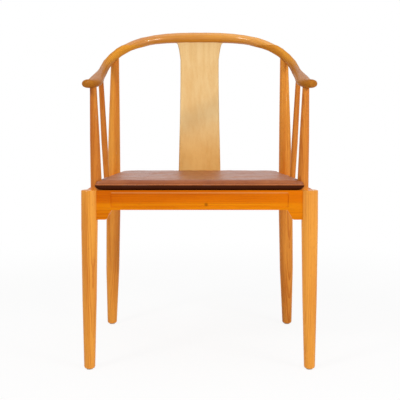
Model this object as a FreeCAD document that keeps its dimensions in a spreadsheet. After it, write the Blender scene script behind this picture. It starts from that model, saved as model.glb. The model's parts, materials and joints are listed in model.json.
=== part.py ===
import FreeCAD, Part
import Sketcher
import math
import os

# Horseshoe back armchair: a round-legged frame of cherry wood under one bent
# rail, with a back splat, two side spindles and a loose leather cushion.
# Millimetres. X runs to the sitter's left, Y runs backwards, Z runs up.
# The origin is on the floor, below the middle of the chair's outline.

Vector = FreeCAD.Vector
doc = FreeCAD.newDocument("horseshoe_back_armchair")

# Driving sizes, each with the thing that it measures

SIZES = [
    ("overall_height", 825.0, "floor to the top of the crest"),
    ("overall_depth", 550.0, "arm ends to the back of the crest"),
    ("seat_height", 425.6, "floor to the top of the seat frame"),
    ("glue_line", 0.1, "room left for glue between two wooden faces"),
    ("cushion_gap", 0.4, "room between the loose cushion and the frame"),
    ("overrun", 30.0, "how far a cutting tool runs past the wood"),
    # Horseshoe rail
    ("bow_half_width", 254.5, "middle plane to the rail's centre line at its widest"),
    ("bow_drop", 141.0, "crest centre line down to the arm end's centre line"),
    ("arm_overhang", 26.5, "arm ends in front of the front legs' centres"),
    ("bow_breadth", 26.0, "rail, front to back, at the crest"),
    ("bow_thickness", 24.6, "rail, top to bottom, at the shoulders"),
    ("crest_thickness", 28.6, "rail, top to bottom, at the crest"),
    ("arm_end_nose", 9.0, "length of the rounded nose on each arm end"),
    ("scarf_in", 23.0, "back leg's head to the scarf's upper feather edge, inwards"),
    ("scarf_length", 58.0, "scarf's upper to its lower feather edge, inwards"),
    # Front legs, each one piece with its arm post
    ("front_foot_x", 260.3, "middle plane to a front foot's centre"),
    ("front_leg_x", 255.2, "middle plane to a front leg's centre at the seat"),
    ("front_leg_foot_dia", 26.0, "front leg at the floor"),
    ("front_leg_calf_dia", 33.6, "front leg at the calf height"),
    ("front_leg_dia", 38.4, "front leg under the seat frame"),
    ("calf_height", 168.0, "floor to the calf of a front leg"),
    ("thigh_height", 345.0, "floor to where a front leg stops swelling"),
    ("ring_step", 180.0, "longest stretch between two worked-out rounds of an upright"),
    ("foot_round", 5.0, "rounding of each leg's lower rim"),
    ("leg_top_round", 2.0, "rounding of each front leg's upper rim"),
    ("block_in", 28.3, "leg centre to the inner face of its square block"),
    ("block_gap_out", 3.2, "leg centre back in to the outer face of its square block"),
    ("block_back", 26.5, "leg centre to the back face of its square block"),
    ("block_lip", 2.0, "square block in front of the leg's centre"),
    ("block_corner_round", 5.0, "rounding of the square block's upright corners"),
    ("post_in", 14.8, "front leg's centre to its arm post's centre, inwards"),
    ("post_back", 12.0, "front leg's centre to its arm post's centre, backwards"),
    ("post_foot_dia", 26.6, "arm post at the seat"),
    ("post_middle_dia", 22.2, "arm post half way up"),
    ("post_head_dia", 15.2, "arm post under the arm"),
    # Back legs, each one straight piece from floor to rail
    ("back_foot_x", 249.5, "middle plane to a back foot's centre"),
    ("back_foot_in", 80.5, "crest's centre line to a back foot's centre, forwards"),
    ("back_leg_head_in", 103.0, "crest's centre line to a back leg's head, forwards"),
    ("back_leg_foot_dia", 26.0, "back leg at the floor"),
    ("back_leg_swell_dia", 38.8, "back leg at its thickest, under the seat frame"),
    ("back_leg_swell_height", 318.0, "floor to the back leg's thickest place"),
    ("back_leg_seat_dia", 36.6, "back leg at the top of the seat frame"),
    ("back_leg_head_dia", 21.6, "back leg under the rail"),
    # Side spindles
    ("spindle_in", 14.2, "side rail's outer face to a spindle's foot centre"),
    ("spindle_swell_up", 100.0, "seat frame to the spindle's thickest place"),
    ("spindle_foot_dia", 13.8, "spindle on the seat frame"),
    ("spindle_middle_dia", 15.8, "spindle at its thickest"),
    ("spindle_head_dia", 12.6, "spindle under the arm"),
    ("round_tenon_dia", 9.0, "round tenon on each upright's end"),
    ("round_tenon_up", 4.0, "round tenon past the rail's centre line"),
    ("round_tenon_down", 18.0, "round tenon below the top of a seat rail"),
    # Seat frame
    ("seat_rail_height", 45.5, "seat rail, top to bottom"),
    ("seat_rail_thickness", 27.0, "seat rail, outer to inner face"),
    ("seat_rail_setback", 10.0, "seat rail's outer face behind the leg's roundest place"),
    ("bracket_drop", 22.6, "knee bracket below the seat rail"),
    ("bracket_reach", 39.0, "leg centre to the toe of a knee bracket"),
    ("bracket_slope", 13.0, "sideways run of a knee bracket's slope"),
    ("bracket_toe_round", 6.0, "rounding of a knee bracket's toe"),
    ("bracket_throat_round", 4.0, "hollow rounding where a knee bracket meets its rail"),
    ("recess_depth", 2.0, "sunk field in a seat rail's outer face"),
    ("recess_margin", 6.0, "plain border above and below the sunk field"),
    ("recess_end", 49.5, "leg centre to the end of the sunk field"),
    ("recess_round", 5.0, "rounding of the sunk field's corners"),
    ("tenon_thickness", 9.0, "tenon on a seat rail's end"),
    ("tenon_height", 16.0, "tenon on a seat rail's end, top to bottom"),
    ("tenon_margin", 4.0, "seat rail above the upper and below the lower tenons"),
    ("edge_round", 1.2, "rounding of a seat rail's upper outer edge"),
    # Seat panel and corner braces
    ("panel_thickness", 6.0, "plywood seat panel"),
    ("rebate_width", 6.0, "rebate that carries the seat panel"),
    ("panel_gap", 0.3, "room round the seat panel"),
    ("brace_height", 28.0, "corner brace, top to bottom"),
    ("brace_reach", 40.0, "frame corner to the near edge of its brace"),
    ("brace_width", 22.0, "corner brace along the rail"),
    # Back splat
    ("splat_thickness", 11.0, "splat, front to back"),
    ("splat_foot_in", 9.6, "back rail's outer face to the splat's middle"),
    ("splat_edge_round", 1.5, "bulge of the splat's rounded side edges"),
    ("splat_foot_half_width", 56.9, "half of the splat on the seat frame"),
    ("splat_waist_half_width", 52.6, "half of the splat at its narrowest"),
    ("splat_ear_half_width", 68.0, "half of the splat between the tips of its ears"),
    ("splat_bend_radius", 400.0, "how round the splat is, seen from above"),
    ("splat_tenon_half_width", 42.0, "half of each tenon on the splat"),
    ("splat_tenon_thickness", 6.0, "tenon on the splat"),
    ("splat_tenon_down", 20.0, "splat's lower tenon in the back rail"),
    ("splat_tenon_up", 10.0, "splat's upper tenon above the crest's underside"),
    # Foot glides
    ("glide_dia", 15.0, "glide's disc"),
    ("glide_thickness", 2.0, "glide's disc"),
    ("glide_pin_dia", 3.0, "glide's pin"),
    ("glide_pin_length", 12.0, "glide's pin in the leg"),
    # Loose cushion
    ("cushion_front", 15.0, "cushion's front seam before the front legs' centres"),
    ("cushion_front_in", 8.2, "front leg's centre to the cushion's seam, inwards"),
    ("cushion_back", 29.3, "back leg's centre to the cushion's back seam, forwards"),
    ("cushion_back_in", 25.1, "back leg's centre to the cushion's seam, inwards"),
    ("cushion_seam_height", 13.0, "seat frame to the cushion's seam"),
    ("cushion_height", 19.6, "seat frame to the top of the crown"),
    ("cushion_sole_inset", 17.0, "flat sole inside the seam"),
    ("cushion_crown_inset", 60.0, "flat of the crown inside the seam"),
    ("cushion_front_corner", 6.0, "rounding of the cushion's front corners"),
    ("cushion_back_corner", 34.0, "rounding of the cushion's back corners"),
    ("cushion_notch_room", 1.2, "room between the cushion and the posts, legs and spindles"),
    ("leather_thickness", 1.4, "cushion's leather cover"),
]

sheet = doc.addObject("Spreadsheet::Sheet", "Sizes")
for row, (alias, value, note) in enumerate(SIZES, 1):
    sheet.set("A%d" % row, note)
    sheet.set("B%d" % row, str(value))
    sheet.setAlias("B%d" % row, alias)
doc.recompute()


def size(alias):
    """The driving size of that name, as a number."""
    return float(sheet.get(alias))


# The horseshoe rail's centre line. Each row: sideways share of the bow's half
# width, backwards share of the way from the front legs to the crest, upwards
# share of the drop from crest to arm end, then the section's breadth and
# thickness as shares of the bow's.

BOW_SHARES = [
    (0.000, 1.000, 1.000, 1.00, 1.00),
    (0.308, 0.984, 0.985, 0.99, 0.75),
    (0.556, 0.942, 0.924, 0.97, 0.15),
    (0.831, 0.845, 0.722, 0.95, 0.00),
    (0.952, 0.757, 0.513, 0.92, -0.25),
    (0.992, 0.588, 0.286, 0.90, -0.42),
    (0.984, 0.380, 0.168, 1.08, -0.50),
    (0.972, 0.229, 0.102, 1.27, -0.72),
    (0.960, 0.110, 0.050, 1.38, -0.98),
    (0.958, 0.050, 0.023, 1.36, -1.10),
    (0.969, 0.006, 0.007, 1.22, -1.25),
    (1.004, -0.030, 0.000, 1.06, -1.36),
]

# Places worked out from the sizes, in a second sheet. Points on the rail's
# curve join them further down.

PLACES = [
    ("leg_y", "=Sizes.arm_overhang - Sizes.overall_depth / 2", "front legs' centres"),
    ("crest_y", "=Sizes.overall_depth / 2 - Sizes.bow_breadth / 2", "rail's centre at the crest"),
    ("crest_z", "=Sizes.overall_height - Sizes.crest_thickness / 2", "the same, upwards"),
    ("arm_z", "=crest_z - Sizes.bow_drop", "rail's centre at the arm ends"),
    ("rail_low", "=Sizes.seat_height - Sizes.seat_rail_height", "underside of the seat rails"),
    ("bracket_low", "=rail_low - Sizes.bracket_drop", "underside of the knee brackets"),
    ("panel_low", "=Sizes.seat_height - Sizes.panel_thickness", "underside of the seat panel"),
    ("front_out", "=Sizes.front_leg_dia / 2 - Sizes.seat_rail_setback",
     "front leg's centre to a rail's outer face"),
    ("back_out", "=Sizes.back_leg_seat_dia / 2 - Sizes.seat_rail_setback",
     "back leg's centre to a rail's outer face"),
    ("front_face_y", "=leg_y - front_out", "front rail's outer face"),
    ("side_front_x", "=Sizes.front_leg_x + front_out", "side rail's outer face at the front leg"),
    ("post_x", "=Sizes.front_leg_x - Sizes.post_in", "arm post's centre at the seat"),
    ("post_y", "=leg_y + Sizes.post_back", "arm post's centre at the seat"),
    ("back_foot_y", "=crest_y - Sizes.back_foot_in", "back foot's centre"),
]

places = doc.addObject("Spreadsheet::Sheet", "Places")


def add_places(rows):
    """More rows on the sheet of places."""
    first = len(places.getUsedCells()) // 2 + 1
    for row, (alias, value, note) in enumerate(rows, first):
        places.set("A%d" % row, note)
        places.set("B%d" % row, value)
        places.setAlias("B%d" % row, alias)
    doc.recompute()


def number(expression):
    """The value of an expression over both sheets."""
    value = places.evalExpression(expression)
    return float(getattr(value, "Value", value))


add_places(PLACES)
crest_y = number("Places.crest_y")
leg_y = number("Places.leg_y")
crest_z = number("Places.crest_z")
arm_z = number("Places.arm_z")


def bow_station(shares):
    """Centre, breadth and thickness of the rail at one row of shares."""
    across, back, rise, broad, thick = shares
    centre = Vector(across * size("bow_half_width"),
                    leg_y + back * (crest_y - leg_y),
                    arm_z + rise * (crest_z - arm_z))
    breadth = broad * size("bow_breadth")
    swell = size("crest_thickness") - size("bow_thickness")
    return centre, breadth, size("bow_thickness") + thick * swell


def bow_curves():
    """Centre line and section sizes of the whole rail, right arm end to left."""
    half = [bow_station(shares) for shares in BOW_SHARES]
    left = [(Vector(-c.x, c.y, c.z), b, k) for c, b, k in half[:0:-1]]
    rows = left + half
    line = Part.BSplineCurve()
    line.interpolate([c for c, b, k in rows])
    knots = [line.parameter(c) for c, b, k in rows]
    sections = Part.BSplineCurve()
    sections.interpolate(Points=[Vector(b, k, 0) for c, b, k in rows], Parameters=knots)
    return line, sections, knots


bow_line, bow_section_curve, bow_knots = bow_curves()


def bow_sizes(parameter):
    """Breadth and thickness of the rail at a place along it."""
    sizes = bow_section_curve.value(parameter)
    return sizes.x, sizes.y


def bow_frame(parameter):
    """Centre, direction, sideways and upward axes of the rail's section."""
    centre = bow_line.value(parameter)
    along = bow_line.tangent(parameter)[0]
    side = along.cross(Vector(0, 0, 1)).normalize()
    return centre, along, side, side.cross(along).normalize()


# Solids that Part's own functions build. A ring is sixteen arcs on an oval,
# so that rings of different sizes still meet face to face in a loft.

RING_ARCS = 16


def ring(centre, side, up, half_breadth, half_height):
    """A closed oval of short arcs about centre."""
    def at(turn):
        angle = 2 * math.pi * turn / RING_ARCS
        level = side * (half_breadth * math.cos(angle))
        return centre + level + up * (half_height * math.sin(angle))
    arcs = [Part.Arc(at(k), at(k + 0.5), at(k + 1)).toShape() for k in range(RING_ARCS)]
    return Part.Wire(arcs)


def turned(stations, extra):
    """An upright through level rounds. Each station is a centre and a diameter."""
    across, back = Vector(1, 0, 0), Vector(0, 1, 0)
    rings = [ring(centre, across, back, dia / 2 + extra, dia / 2 + extra)
             for centre, dia in stations]
    return Part.makeLoft(rings, True, True)


def between(start, end, share):
    """The point or number at that share of the way from start to end."""
    return start + (end - start) * share


def bow_ring(parameter, extra):
    """One oval section of the rail, grown all round by extra."""
    centre, along, side, up = bow_frame(parameter)
    breadth, thickness = bow_sizes(parameter)
    return ring(centre, side, up, breadth / 2 + extra, thickness / 2 + extra)


# Steps of the rounded nose: how far along it, and how much of its section is left

NOSE_SHARES = [(0.50, 0.866), (0.90, 0.436)]


def nose_rings(parameter, sign, extra):
    """The shrinking ovals that round one end of the rail."""
    centre, along, side, up = bow_frame(parameter)
    breadth, thickness = bow_sizes(parameter)
    length = size("arm_end_nose") + extra
    return [ring(centre + along * (sign * length * reach), side, up,
                 (breadth / 2 + extra) * left, (thickness / 2 + extra) * left)
            for reach, left in NOSE_SHARES]


BOW_TURN = math.radians(13)


def bow_solid(extra):
    """The whole horseshoe rail with its two rounded ends."""
    rings = nose_rings(bow_knots[0], -1, extra)[::-1]
    for first, last in zip(bow_knots, bow_knots[1:]):
        turn = bow_line.tangent(first)[0].getAngle(bow_line.tangent(last)[0])
        steps = math.ceil(turn / BOW_TURN)
        rings.extend(bow_ring(between(first, last, step / steps), extra) for step in range(steps))
    rings.append(bow_ring(bow_knots[-1], extra))
    rings.extend(nose_rings(bow_knots[-1], 1, extra))
    return Part.makeLoft(rings, True, True)


HALVINGS = 40


def bow_parameter(reached):
    """Where along the left half of the rail a test first holds."""
    low, high = bow_knots[len(bow_knots) // 2], bow_knots[-1]
    for halving in range(HALVINGS):
        middle = (low + high) / 2
        if reached(bow_line.value(middle)):
            high = middle
        else:
            low = middle
    return high


def bow_over(place_y):
    """The rail's centre on the sitter's left where it crosses a place's Y."""
    return bow_line.value(bow_parameter(lambda c: c.y < place_y))


def scarf_block(shift):
    """The space below the left scarf, moved away from the seam by shift."""
    top_x = back_head.x - size("scarf_in")
    upper = bow_parameter(lambda c: c.x > top_x)
    lower = bow_parameter(lambda c: c.x > top_x - size("scarf_length"))
    top_centre, along, side, up = bow_frame(upper)
    top = top_centre + up * (bow_sizes(upper)[1] / 2)
    low_centre, along, low_side, low_up = bow_frame(lower)
    bottom = low_centre - low_up * (bow_sizes(lower)[1] / 2)
    slope = (top - bottom).normalize()
    level = side.cross(slope).normalize()
    reach = size("overall_depth") * 2
    start = bottom - slope * size("crest_thickness") + level * shift
    block = Part.makeBox(reach, reach, reach, Vector(-shift, -reach / 2, -reach))
    turn = FreeCAD.Rotation(slope, level.cross(slope), level, "XYZ")
    block.Placement = FreeCAD.Placement(start, turn).multiply(block.Placement)
    return block.common(Part.makeBox(reach, 2 * reach, 2 * reach, Vector(0, -reach, 0)))


# The rail's centre over each upright, and the places that follow from it. The
# spindle's places are shares of the way from the front leg to the back leg.

SPINDLE_FOOT_SHARE = 0.575
SPINDLE_HEAD_SHARE = 0.544

post_head = bow_over(leg_y + size("post_back"))
back_head = bow_over(crest_y - size("back_leg_head_in"))
back_seat_y = between(number("Places.back_foot_y"), back_head.y, size("seat_height") / back_head.z)
spindle_head = bow_over(between(leg_y, back_seat_y, SPINDLE_HEAD_SHARE))

add_places([
    ("post_head_x", str(post_head.x), "rail's centre over the arm post"),
    ("post_head_y", str(post_head.y), "the same, backwards"),
    ("post_head_z", str(post_head.z), "the same, upwards"),
    ("spindle_head_x", str(spindle_head.x), "rail's centre over the side spindle"),
    ("spindle_head_y", str(spindle_head.y), "the same, backwards"),
    ("spindle_head_z", str(spindle_head.z), "the same, upwards"),
    ("back_head_x", str(back_head.x), "rail's centre over the back leg"),
    ("back_head_y", str(back_head.y), "the same, backwards"),
    ("back_head_z", str(back_head.z), "the same, upwards"),
    ("back_leg_share", "=Sizes.seat_height / back_head_z", "share of the back leg below the seat"),
    ("back_leg_x", "=Sizes.back_foot_x + (back_head_x - Sizes.back_foot_x) * back_leg_share",
     "back leg's centre at the seat"),
    ("back_leg_y", "=back_foot_y + (back_head_y - back_foot_y) * back_leg_share",
     "the same, backwards"),
    ("back_face_y", "=back_leg_y + back_out", "back rail's outer face"),
    ("side_back_x", "=back_leg_x + back_out", "side rail's outer face at the back leg"),
    ("side_slope", "=(side_back_x - side_front_x) / (back_leg_y - leg_y)",
     "sideways run of the side rail for each step backwards"),
    ("side_lean", "=atan(side_slope)", "angle of the side rail"),
    ("side_half", "=(back_leg_y - leg_y) / cos(side_lean) / 2", "half of the side rail"),
    ("side_x", "=(side_front_x + side_back_x) / 2", "middle of the side rail's outer face"),
    ("side_y", "=(leg_y + back_leg_y) / 2", "the same, backwards"),
    ("spindle_y", str(between(leg_y, back_seat_y, SPINDLE_FOOT_SHARE)), "side spindle's foot"),
    ("spindle_x", "=side_front_x + side_slope * (spindle_y - leg_y) - Sizes.spindle_in",
     "the same, sideways"),
    ("inner_front_y", "=front_face_y + Sizes.seat_rail_thickness", "front rail's inner face"),
    ("inner_back_y", "=back_face_y - Sizes.seat_rail_thickness", "back rail's inner face"),
    ("inner_x", "=side_front_x - Sizes.seat_rail_thickness / cos(side_lean)",
     "side rail's inner face beside the front leg's centre"),
    ("panel_x", "=inner_x + Sizes.rebate_width / cos(side_lean)",
     "seat panel's edge beside the front leg's centre"),
    ("panel_front_y", "=inner_front_y - Sizes.rebate_width", "seat panel's front edge"),
    ("panel_back_y", "=inner_back_y + Sizes.rebate_width", "seat panel's back edge"),
    ("splat_foot_y", "=back_face_y - Sizes.splat_foot_in", "splat's middle on the back rail"),
])


# Helpers for the document's objects. Every size goes in as an expression.

def feature(label, shape):
    """A named object that holds a shape made in Python."""
    thing = doc.addObject("Part::Feature", label)
    thing.Shape = shape
    return thing


def bind(thing, bindings):
    """Tie properties to expressions over the sheets."""
    for target, expression in bindings.items():
        thing.setExpression(target, expression)
    return thing


def place(thing, frame):
    """Put a piece at a frame: expressions for x, y and the turn about Z."""
    x, y, turn = frame
    thing.Placement = FreeCAD.Placement(Vector(0, 0, 0), FreeCAD.Rotation(Vector(0, 0, 1), 1))
    return bind(thing, {"Placement.Base.x": x, "Placement.Base.y": y,
                        "Placement.Rotation.Angle": turn})


def polygon(body, label, role, corners, offset):
    """A closed sketch on one of the body's planes, each corner tied to expressions."""
    sketch = body.newObject("Sketcher::SketchObject", label)
    plane = next(item for item in body.Origin.OriginFeatures if item.Role == role)
    sketch.AttachmentSupport = [(plane, "")]
    sketch.MapMode = "FlatFace"
    sketch.setExpression("AttachmentOffset.Base.z", offset)
    points = [Vector(number(across), number(up), 0) for across, up in corners]
    for start, end in zip(points, points[1:] + points[:1]):
        sketch.addGeometry(Part.LineSegment(start, end), False)
    for index, (across, up) in enumerate(corners):
        following = (index + 1) % len(corners)
        sketch.addConstraint(Sketcher.Constraint("Coincident", index, 2, following, 1))
        for kind, expression in (("DistanceX", across), ("DistanceY", up)):
            constraint = Sketcher.Constraint(kind, -1, 1, index, 1, number(expression))
            row = sketch.addConstraint(constraint)
            sketch.setExpression("Constraints[%d]" % row, expression)
    return sketch


def pad(body, sketch, length, reverse):
    """Material from a sketch, against the sketch's normal if reverse is set."""
    result = body.newObject("PartDesign::Pad", sketch.Label + "_pad")
    result.Profile = sketch
    result.Reversed = reverse
    result.setExpression("Length", length)
    doc.recompute()
    return result


def soften(body, label, chosen, radius):
    """Round those edges of the body so far that pass a test."""
    base = body.Tip
    names = ["Edge%d" % index for index, edge in enumerate(base.Shape.Edges, 1) if chosen(edge)]
    result = body.newObject("PartDesign::Fillet", label)
    result.Base = (base, names)
    result.setExpression("Radius", radius)
    doc.recompute()
    return result


def plate(label, corners, low, height):
    """A level plate with straight sides."""
    body = doc.addObject("PartDesign::Body", label)
    sketch = polygon(body, label + "_outline", "XY_Plane", corners, low)
    pad(body, sketch, height, False)
    return body


def stick(label, frame, across, back, upwards):
    """A square stick in a rail's frame. Each span is a pair of expressions."""
    body = doc.addObject("PartDesign::Body", label)
    corners = [(across[0], upwards[0]), (across[1], upwards[0]),
               (across[1], upwards[1]), (across[0], upwards[1])]
    sketch = polygon(body, label + "_section", "XZ_Plane", corners, "-(%s)" % back[0])
    pad(body, sketch, "(%s) - (%s)" % (back[1], back[0]), True)
    return place(body, frame)


def rod(label, x, y, low, high, dia):
    """An upright cylinder."""
    thing = doc.addObject("Part::Cylinder", label)
    return bind(thing, {"Placement.Base.x": x, "Placement.Base.y": y,
                        "Placement.Base.z": low, "Radius": "(%s) / 2" % dia,
                        "Height": "(%s) - (%s)" % (high, low)})


def fuse(label, pieces):
    """Several pieces as one."""
    thing = doc.addObject("Part::MultiFuse", label)
    thing.Shapes = pieces
    return thing


def cut(label, base, tool):
    """A piece less a tool."""
    thing = doc.addObject("Part::Cut", label)
    thing.Base = base
    thing.Tool = tool
    return thing


def common(label, base, tool):
    """What two pieces share."""
    thing = doc.addObject("Part::Common", label)
    thing.Base = base
    thing.Tool = tool
    return thing


def mirror(label, source):
    """The same piece on the sitter's right."""
    thing = doc.addObject("Part::Mirroring", label)
    thing.Source = source
    thing.Normal = Vector(1, 0, 0)
    return thing


def grown(low, high):
    """A pair of expressions moved apart by the glue line."""
    return "(%s) - Sizes.glue_line" % low, "(%s) + Sizes.glue_line" % high


# Uprights. Each is given by its two ends and its diameters at chosen heights.

RIM_STEPS = 2


def upright(start, end, diameters, low_round, high_round, extra):
    """A leaning round upright through diameters at given heights."""
    heights = [height for height, dia in diameters]
    curve = Part.BSplineCurve()
    points = [Vector(dia, height, 0) for height, dia in diameters]
    curve.interpolate(Points=points, Parameters=heights)
    stations = [(height, 0) for height in heights[1:-1]]
    for low, high in zip(heights, heights[1:]):
        steps = math.ceil((high - low) / size("ring_step"))
        stations += [(between(low, high, step / steps), 0) for step in range(1, steps)]
    for limit, inwards, rounding in ((heights[0], 1, low_round), (heights[-1], -1, high_round)):
        for step in range(RIM_STEPS + 1 if rounding else 1):
            angle = math.pi / 2 * step / RIM_STEPS
            inset = rounding * (1 - math.sin(angle))
            stations.append((limit + inwards * rounding * (1 - math.cos(angle)), inset))
    rings = []
    for height, inset in sorted(stations):
        centre = between(start, end, (height - start.z) / (end.z - start.z))
        rings.append((centre, curve.value(height).x - 2 * inset))
    return turned(rings, extra)


def front_leg_form(extra):
    """The turned lower part of a front leg."""
    foot = Vector(size("front_foot_x"), leg_y, 0)
    seat = Vector(size("front_leg_x"), leg_y, size("seat_height"))
    diameters = [(size("glide_thickness"), size("front_leg_foot_dia")),
                 (size("calf_height"), size("front_leg_calf_dia")),
                 (size("thigh_height"), size("front_leg_dia")),
                 (size("seat_height"), size("front_leg_dia"))]
    top_round = 0 if extra else size("leg_top_round")
    return upright(foot, seat, diameters, size("foot_round"), top_round, extra)


def post_form():
    """The arm post that carries on above the square block."""
    foot = Vector(number("Places.post_x"), number("Places.post_y"), size("seat_height"))
    start = foot - Vector(0, 0, size("leg_top_round"))
    middle = (foot.z + post_head.z) / 2
    diameters = [(start.z, size("post_foot_dia")), (middle, size("post_middle_dia")),
                 (post_head.z, size("post_head_dia"))]
    return upright(start, post_head, diameters, 0, 0, 0)


def back_leg_form(extra):
    """The whole back leg."""
    foot = Vector(size("back_foot_x"), number("Places.back_foot_y"), 0)
    diameters = [(size("glide_thickness"), size("back_leg_foot_dia")),
                 (size("back_leg_swell_height"), size("back_leg_swell_dia")),
                 (size("seat_height"), size("back_leg_seat_dia")),
                 (back_head.z, size("back_leg_head_dia"))]
    return upright(foot, back_head, diameters, size("foot_round"), 0, extra)


def spindle_form():
    """The side spindle between seat rail and arm."""
    foot = Vector(number("Places.spindle_x"), number("Places.spindle_y"), size("seat_height"))
    swell = size("seat_height") + size("spindle_swell_up")
    diameters = [(foot.z, size("spindle_foot_dia")), (swell, size("spindle_middle_dia")),
                 (spindle_head.z, size("spindle_head_dia"))]
    return upright(foot, spindle_head, diameters, 0, 0, 0)


# Round tenons that stand in the rail, and the holes for them

def head_tenon(label, head, extra):
    """A round tenon at the top of an upright."""
    x, y, z = ("Places.%s_head_%s" % (head, axis) for axis in "xyz")
    low, high = z + " - Sizes.crest_thickness", z + " + Sizes.round_tenon_up"
    if extra:
        low, high = grown(low, high)
        return rod(label, x, y, low, high, "Sizes.round_tenon_dia + 2 * Sizes.glue_line")
    return rod(label, x, y, low, high, "Sizes.round_tenon_dia")


HEADS = ["post", "spindle", "back"]
tenons = {head: head_tenon(head + "_tenon", head, False) for head in HEADS}
mortises = {head: head_tenon(head + "_mortise", head, True) for head in HEADS}

SEAT, SPINDLE_LOW = "Sizes.seat_height", "Sizes.seat_height - Sizes.round_tenon_down"
spindle_tenon = rod("spindle_low_tenon", "Places.spindle_x", "Places.spindle_y", SPINDLE_LOW,
                    SEAT + " + Sizes.round_tenon_up", "Sizes.round_tenon_dia")
spindle_mortise = rod("spindle_low_mortise", "Places.spindle_x", "Places.spindle_y",
                      SPINDLE_LOW + " - Sizes.glue_line", SEAT + " + Sizes.overrun",
                      "Sizes.round_tenon_dia + 2 * Sizes.glue_line")

# The horseshoe rail, in three pieces joined by two long scarfs

bow = feature("bow", bow_solid(0))
bow_room = feature("bow_room", bow_solid(size("glue_line")))
under_scarf = feature("under_scarf", scarf_block(-size("glue_line") / 2))
scarf_left = feature("scarf_room", scarf_block(size("glue_line") / 2))
scarf_right = mirror("scarf_room_right", scarf_left)

arm_blank = common("arm_blank", bow, under_scarf)
arm_left = cut("arm_rail_left", arm_blank, fuse("arm_mortises", list(mortises.values())))
arm_right = mirror("arm_rail_right", arm_left)


# Splat. Rows: share of the way up, half width as shares of the foot's and of
# the ears' flare beyond the waist, and share of the way back to the crest.

SPLAT_SHARES = [
    (0.000, 1.00, 0.00, 0.000),
    (0.180, 0.72, 0.00, 0.262),
    (0.360, 0.42, 0.00, 0.520),
    (0.541, 0.18, 0.00, 0.723),
    (0.700, 0.04, 0.00, 0.874),
    (0.837, 0.00, 0.02, 0.970),
    (0.874, 0.00, 0.14, 0.987),
    (0.912, 0.00, 0.29, 0.997),
    (0.949, 0.00, 0.52, 1.000),
    (0.970, 0.00, 1.00, 1.000),
    (1.000, 0.00, 1.10, 1.000),
]


def strip(half_width, thickness, middle, height):
    """A thin section, bent towards the sitter at its ends."""
    radius = size("splat_bend_radius")
    angle = math.asin(half_width / radius)

    def at(turn, out):
        reach = radius + out
        return Vector(reach * math.sin(turn), middle - radius + reach * math.cos(turn), height)

    side = angle + size("splat_edge_round") / radius
    half = thickness / 2
    return Part.Wire([
        Part.Arc(at(-angle, half), at(0, half), at(angle, half)).toShape(),
        Part.Arc(at(angle, half), at(side, 0), at(angle, -half)).toShape(),
        Part.Arc(at(angle, -half), at(0, -half), at(-angle, -half)).toShape(),
        Part.Arc(at(-angle, -half), at(-side, 0), at(-angle, half)).toShape()])


def splat_form():
    """The splat's broad part, from the back rail into the crest."""
    foot, ear = size("splat_foot_half_width"), size("splat_ear_half_width")
    waist, foot_y = size("splat_waist_half_width"), number("Places.splat_foot_y")
    sections = []
    for up, wide_foot, wide_ear, back in SPLAT_SHARES:
        half_width = waist + wide_foot * (foot - waist) + wide_ear * (ear - waist)
        height = between(size("seat_height"), crest_z, up)
        middle = between(foot_y, crest_y, back)
        sections.append(strip(half_width, size("splat_thickness"), middle, height))
    return Part.makeLoft(sections, True, True)


def splat_tenon(low, high, middle, extra):
    """One of the splat's two thinner ends."""
    half_width = size("splat_tenon_half_width") + extra
    thickness = size("splat_tenon_thickness") + 2 * extra
    ends = [strip(half_width, thickness, middle, height) for height in (low - extra, high + extra)]
    return Part.makeLoft(ends, True, True)


def splat_tenons(extra):
    """Both of the splat's tenons, or the rooms for them."""
    crest_low = crest_z - size("crest_thickness") / 2
    foot, overlap = size("seat_height"), size("splat_tenon_thickness")
    lower = splat_tenon(foot - size("splat_tenon_down"), foot + overlap / 2,
                        number("Places.splat_foot_y"), extra)
    upper = splat_tenon(crest_low - overlap, crest_low + size("splat_tenon_up"), crest_y, extra)
    return Part.makeCompound([lower, upper])


splat_body = feature("splat_form", splat_form())
splat_room = feature("splat_mortises", splat_tenons(size("glue_line")))
splat = fuse("back_splat", [cut("splat_shoulder", splat_body, bow_room),
                            feature("splat_tenons", splat_tenons(0))])
crest_tools = fuse("crest_tools", [scarf_left, scarf_right, splat_room])
crest = cut("crest_rail", bow, crest_tools)

# Seat rails and their brackets. A rail's own frame has X along it, Y from its
# outer face inwards, and the leg centres at both ends.

FRONT = ("0", "Places.front_face_y", "0 deg")
BACK = ("0", "Places.back_face_y", "180 deg")
SIDE = ("Places.side_x", "Places.side_y", "90 deg - Places.side_lean")
LOWER_TENON = ("Places.rail_low + Sizes.tenon_margin",
               "Places.rail_low + Sizes.tenon_margin + Sizes.tenon_height")
UPPER_TENON = ("Sizes.seat_height - Sizes.tenon_margin - Sizes.tenon_height",
               "Sizes.seat_height - Sizes.tenon_margin")


def level(edge, height):
    """Whether an edge lies level at that height."""
    box = edge.BoundBox
    return abs(box.ZMin - height) < size("glue_line") and abs(box.ZMax - height) < size("glue_line")


def upright_at(edge, x, z):
    """Whether an edge runs straight through the rail at that x and z."""
    near = size("glue_line")
    box = edge.BoundBox
    through = box.YLength > near and box.XLength < near and box.ZLength < near
    return through and abs(abs(box.XMin) - x) < near and abs(box.ZMin - z) < near


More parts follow.
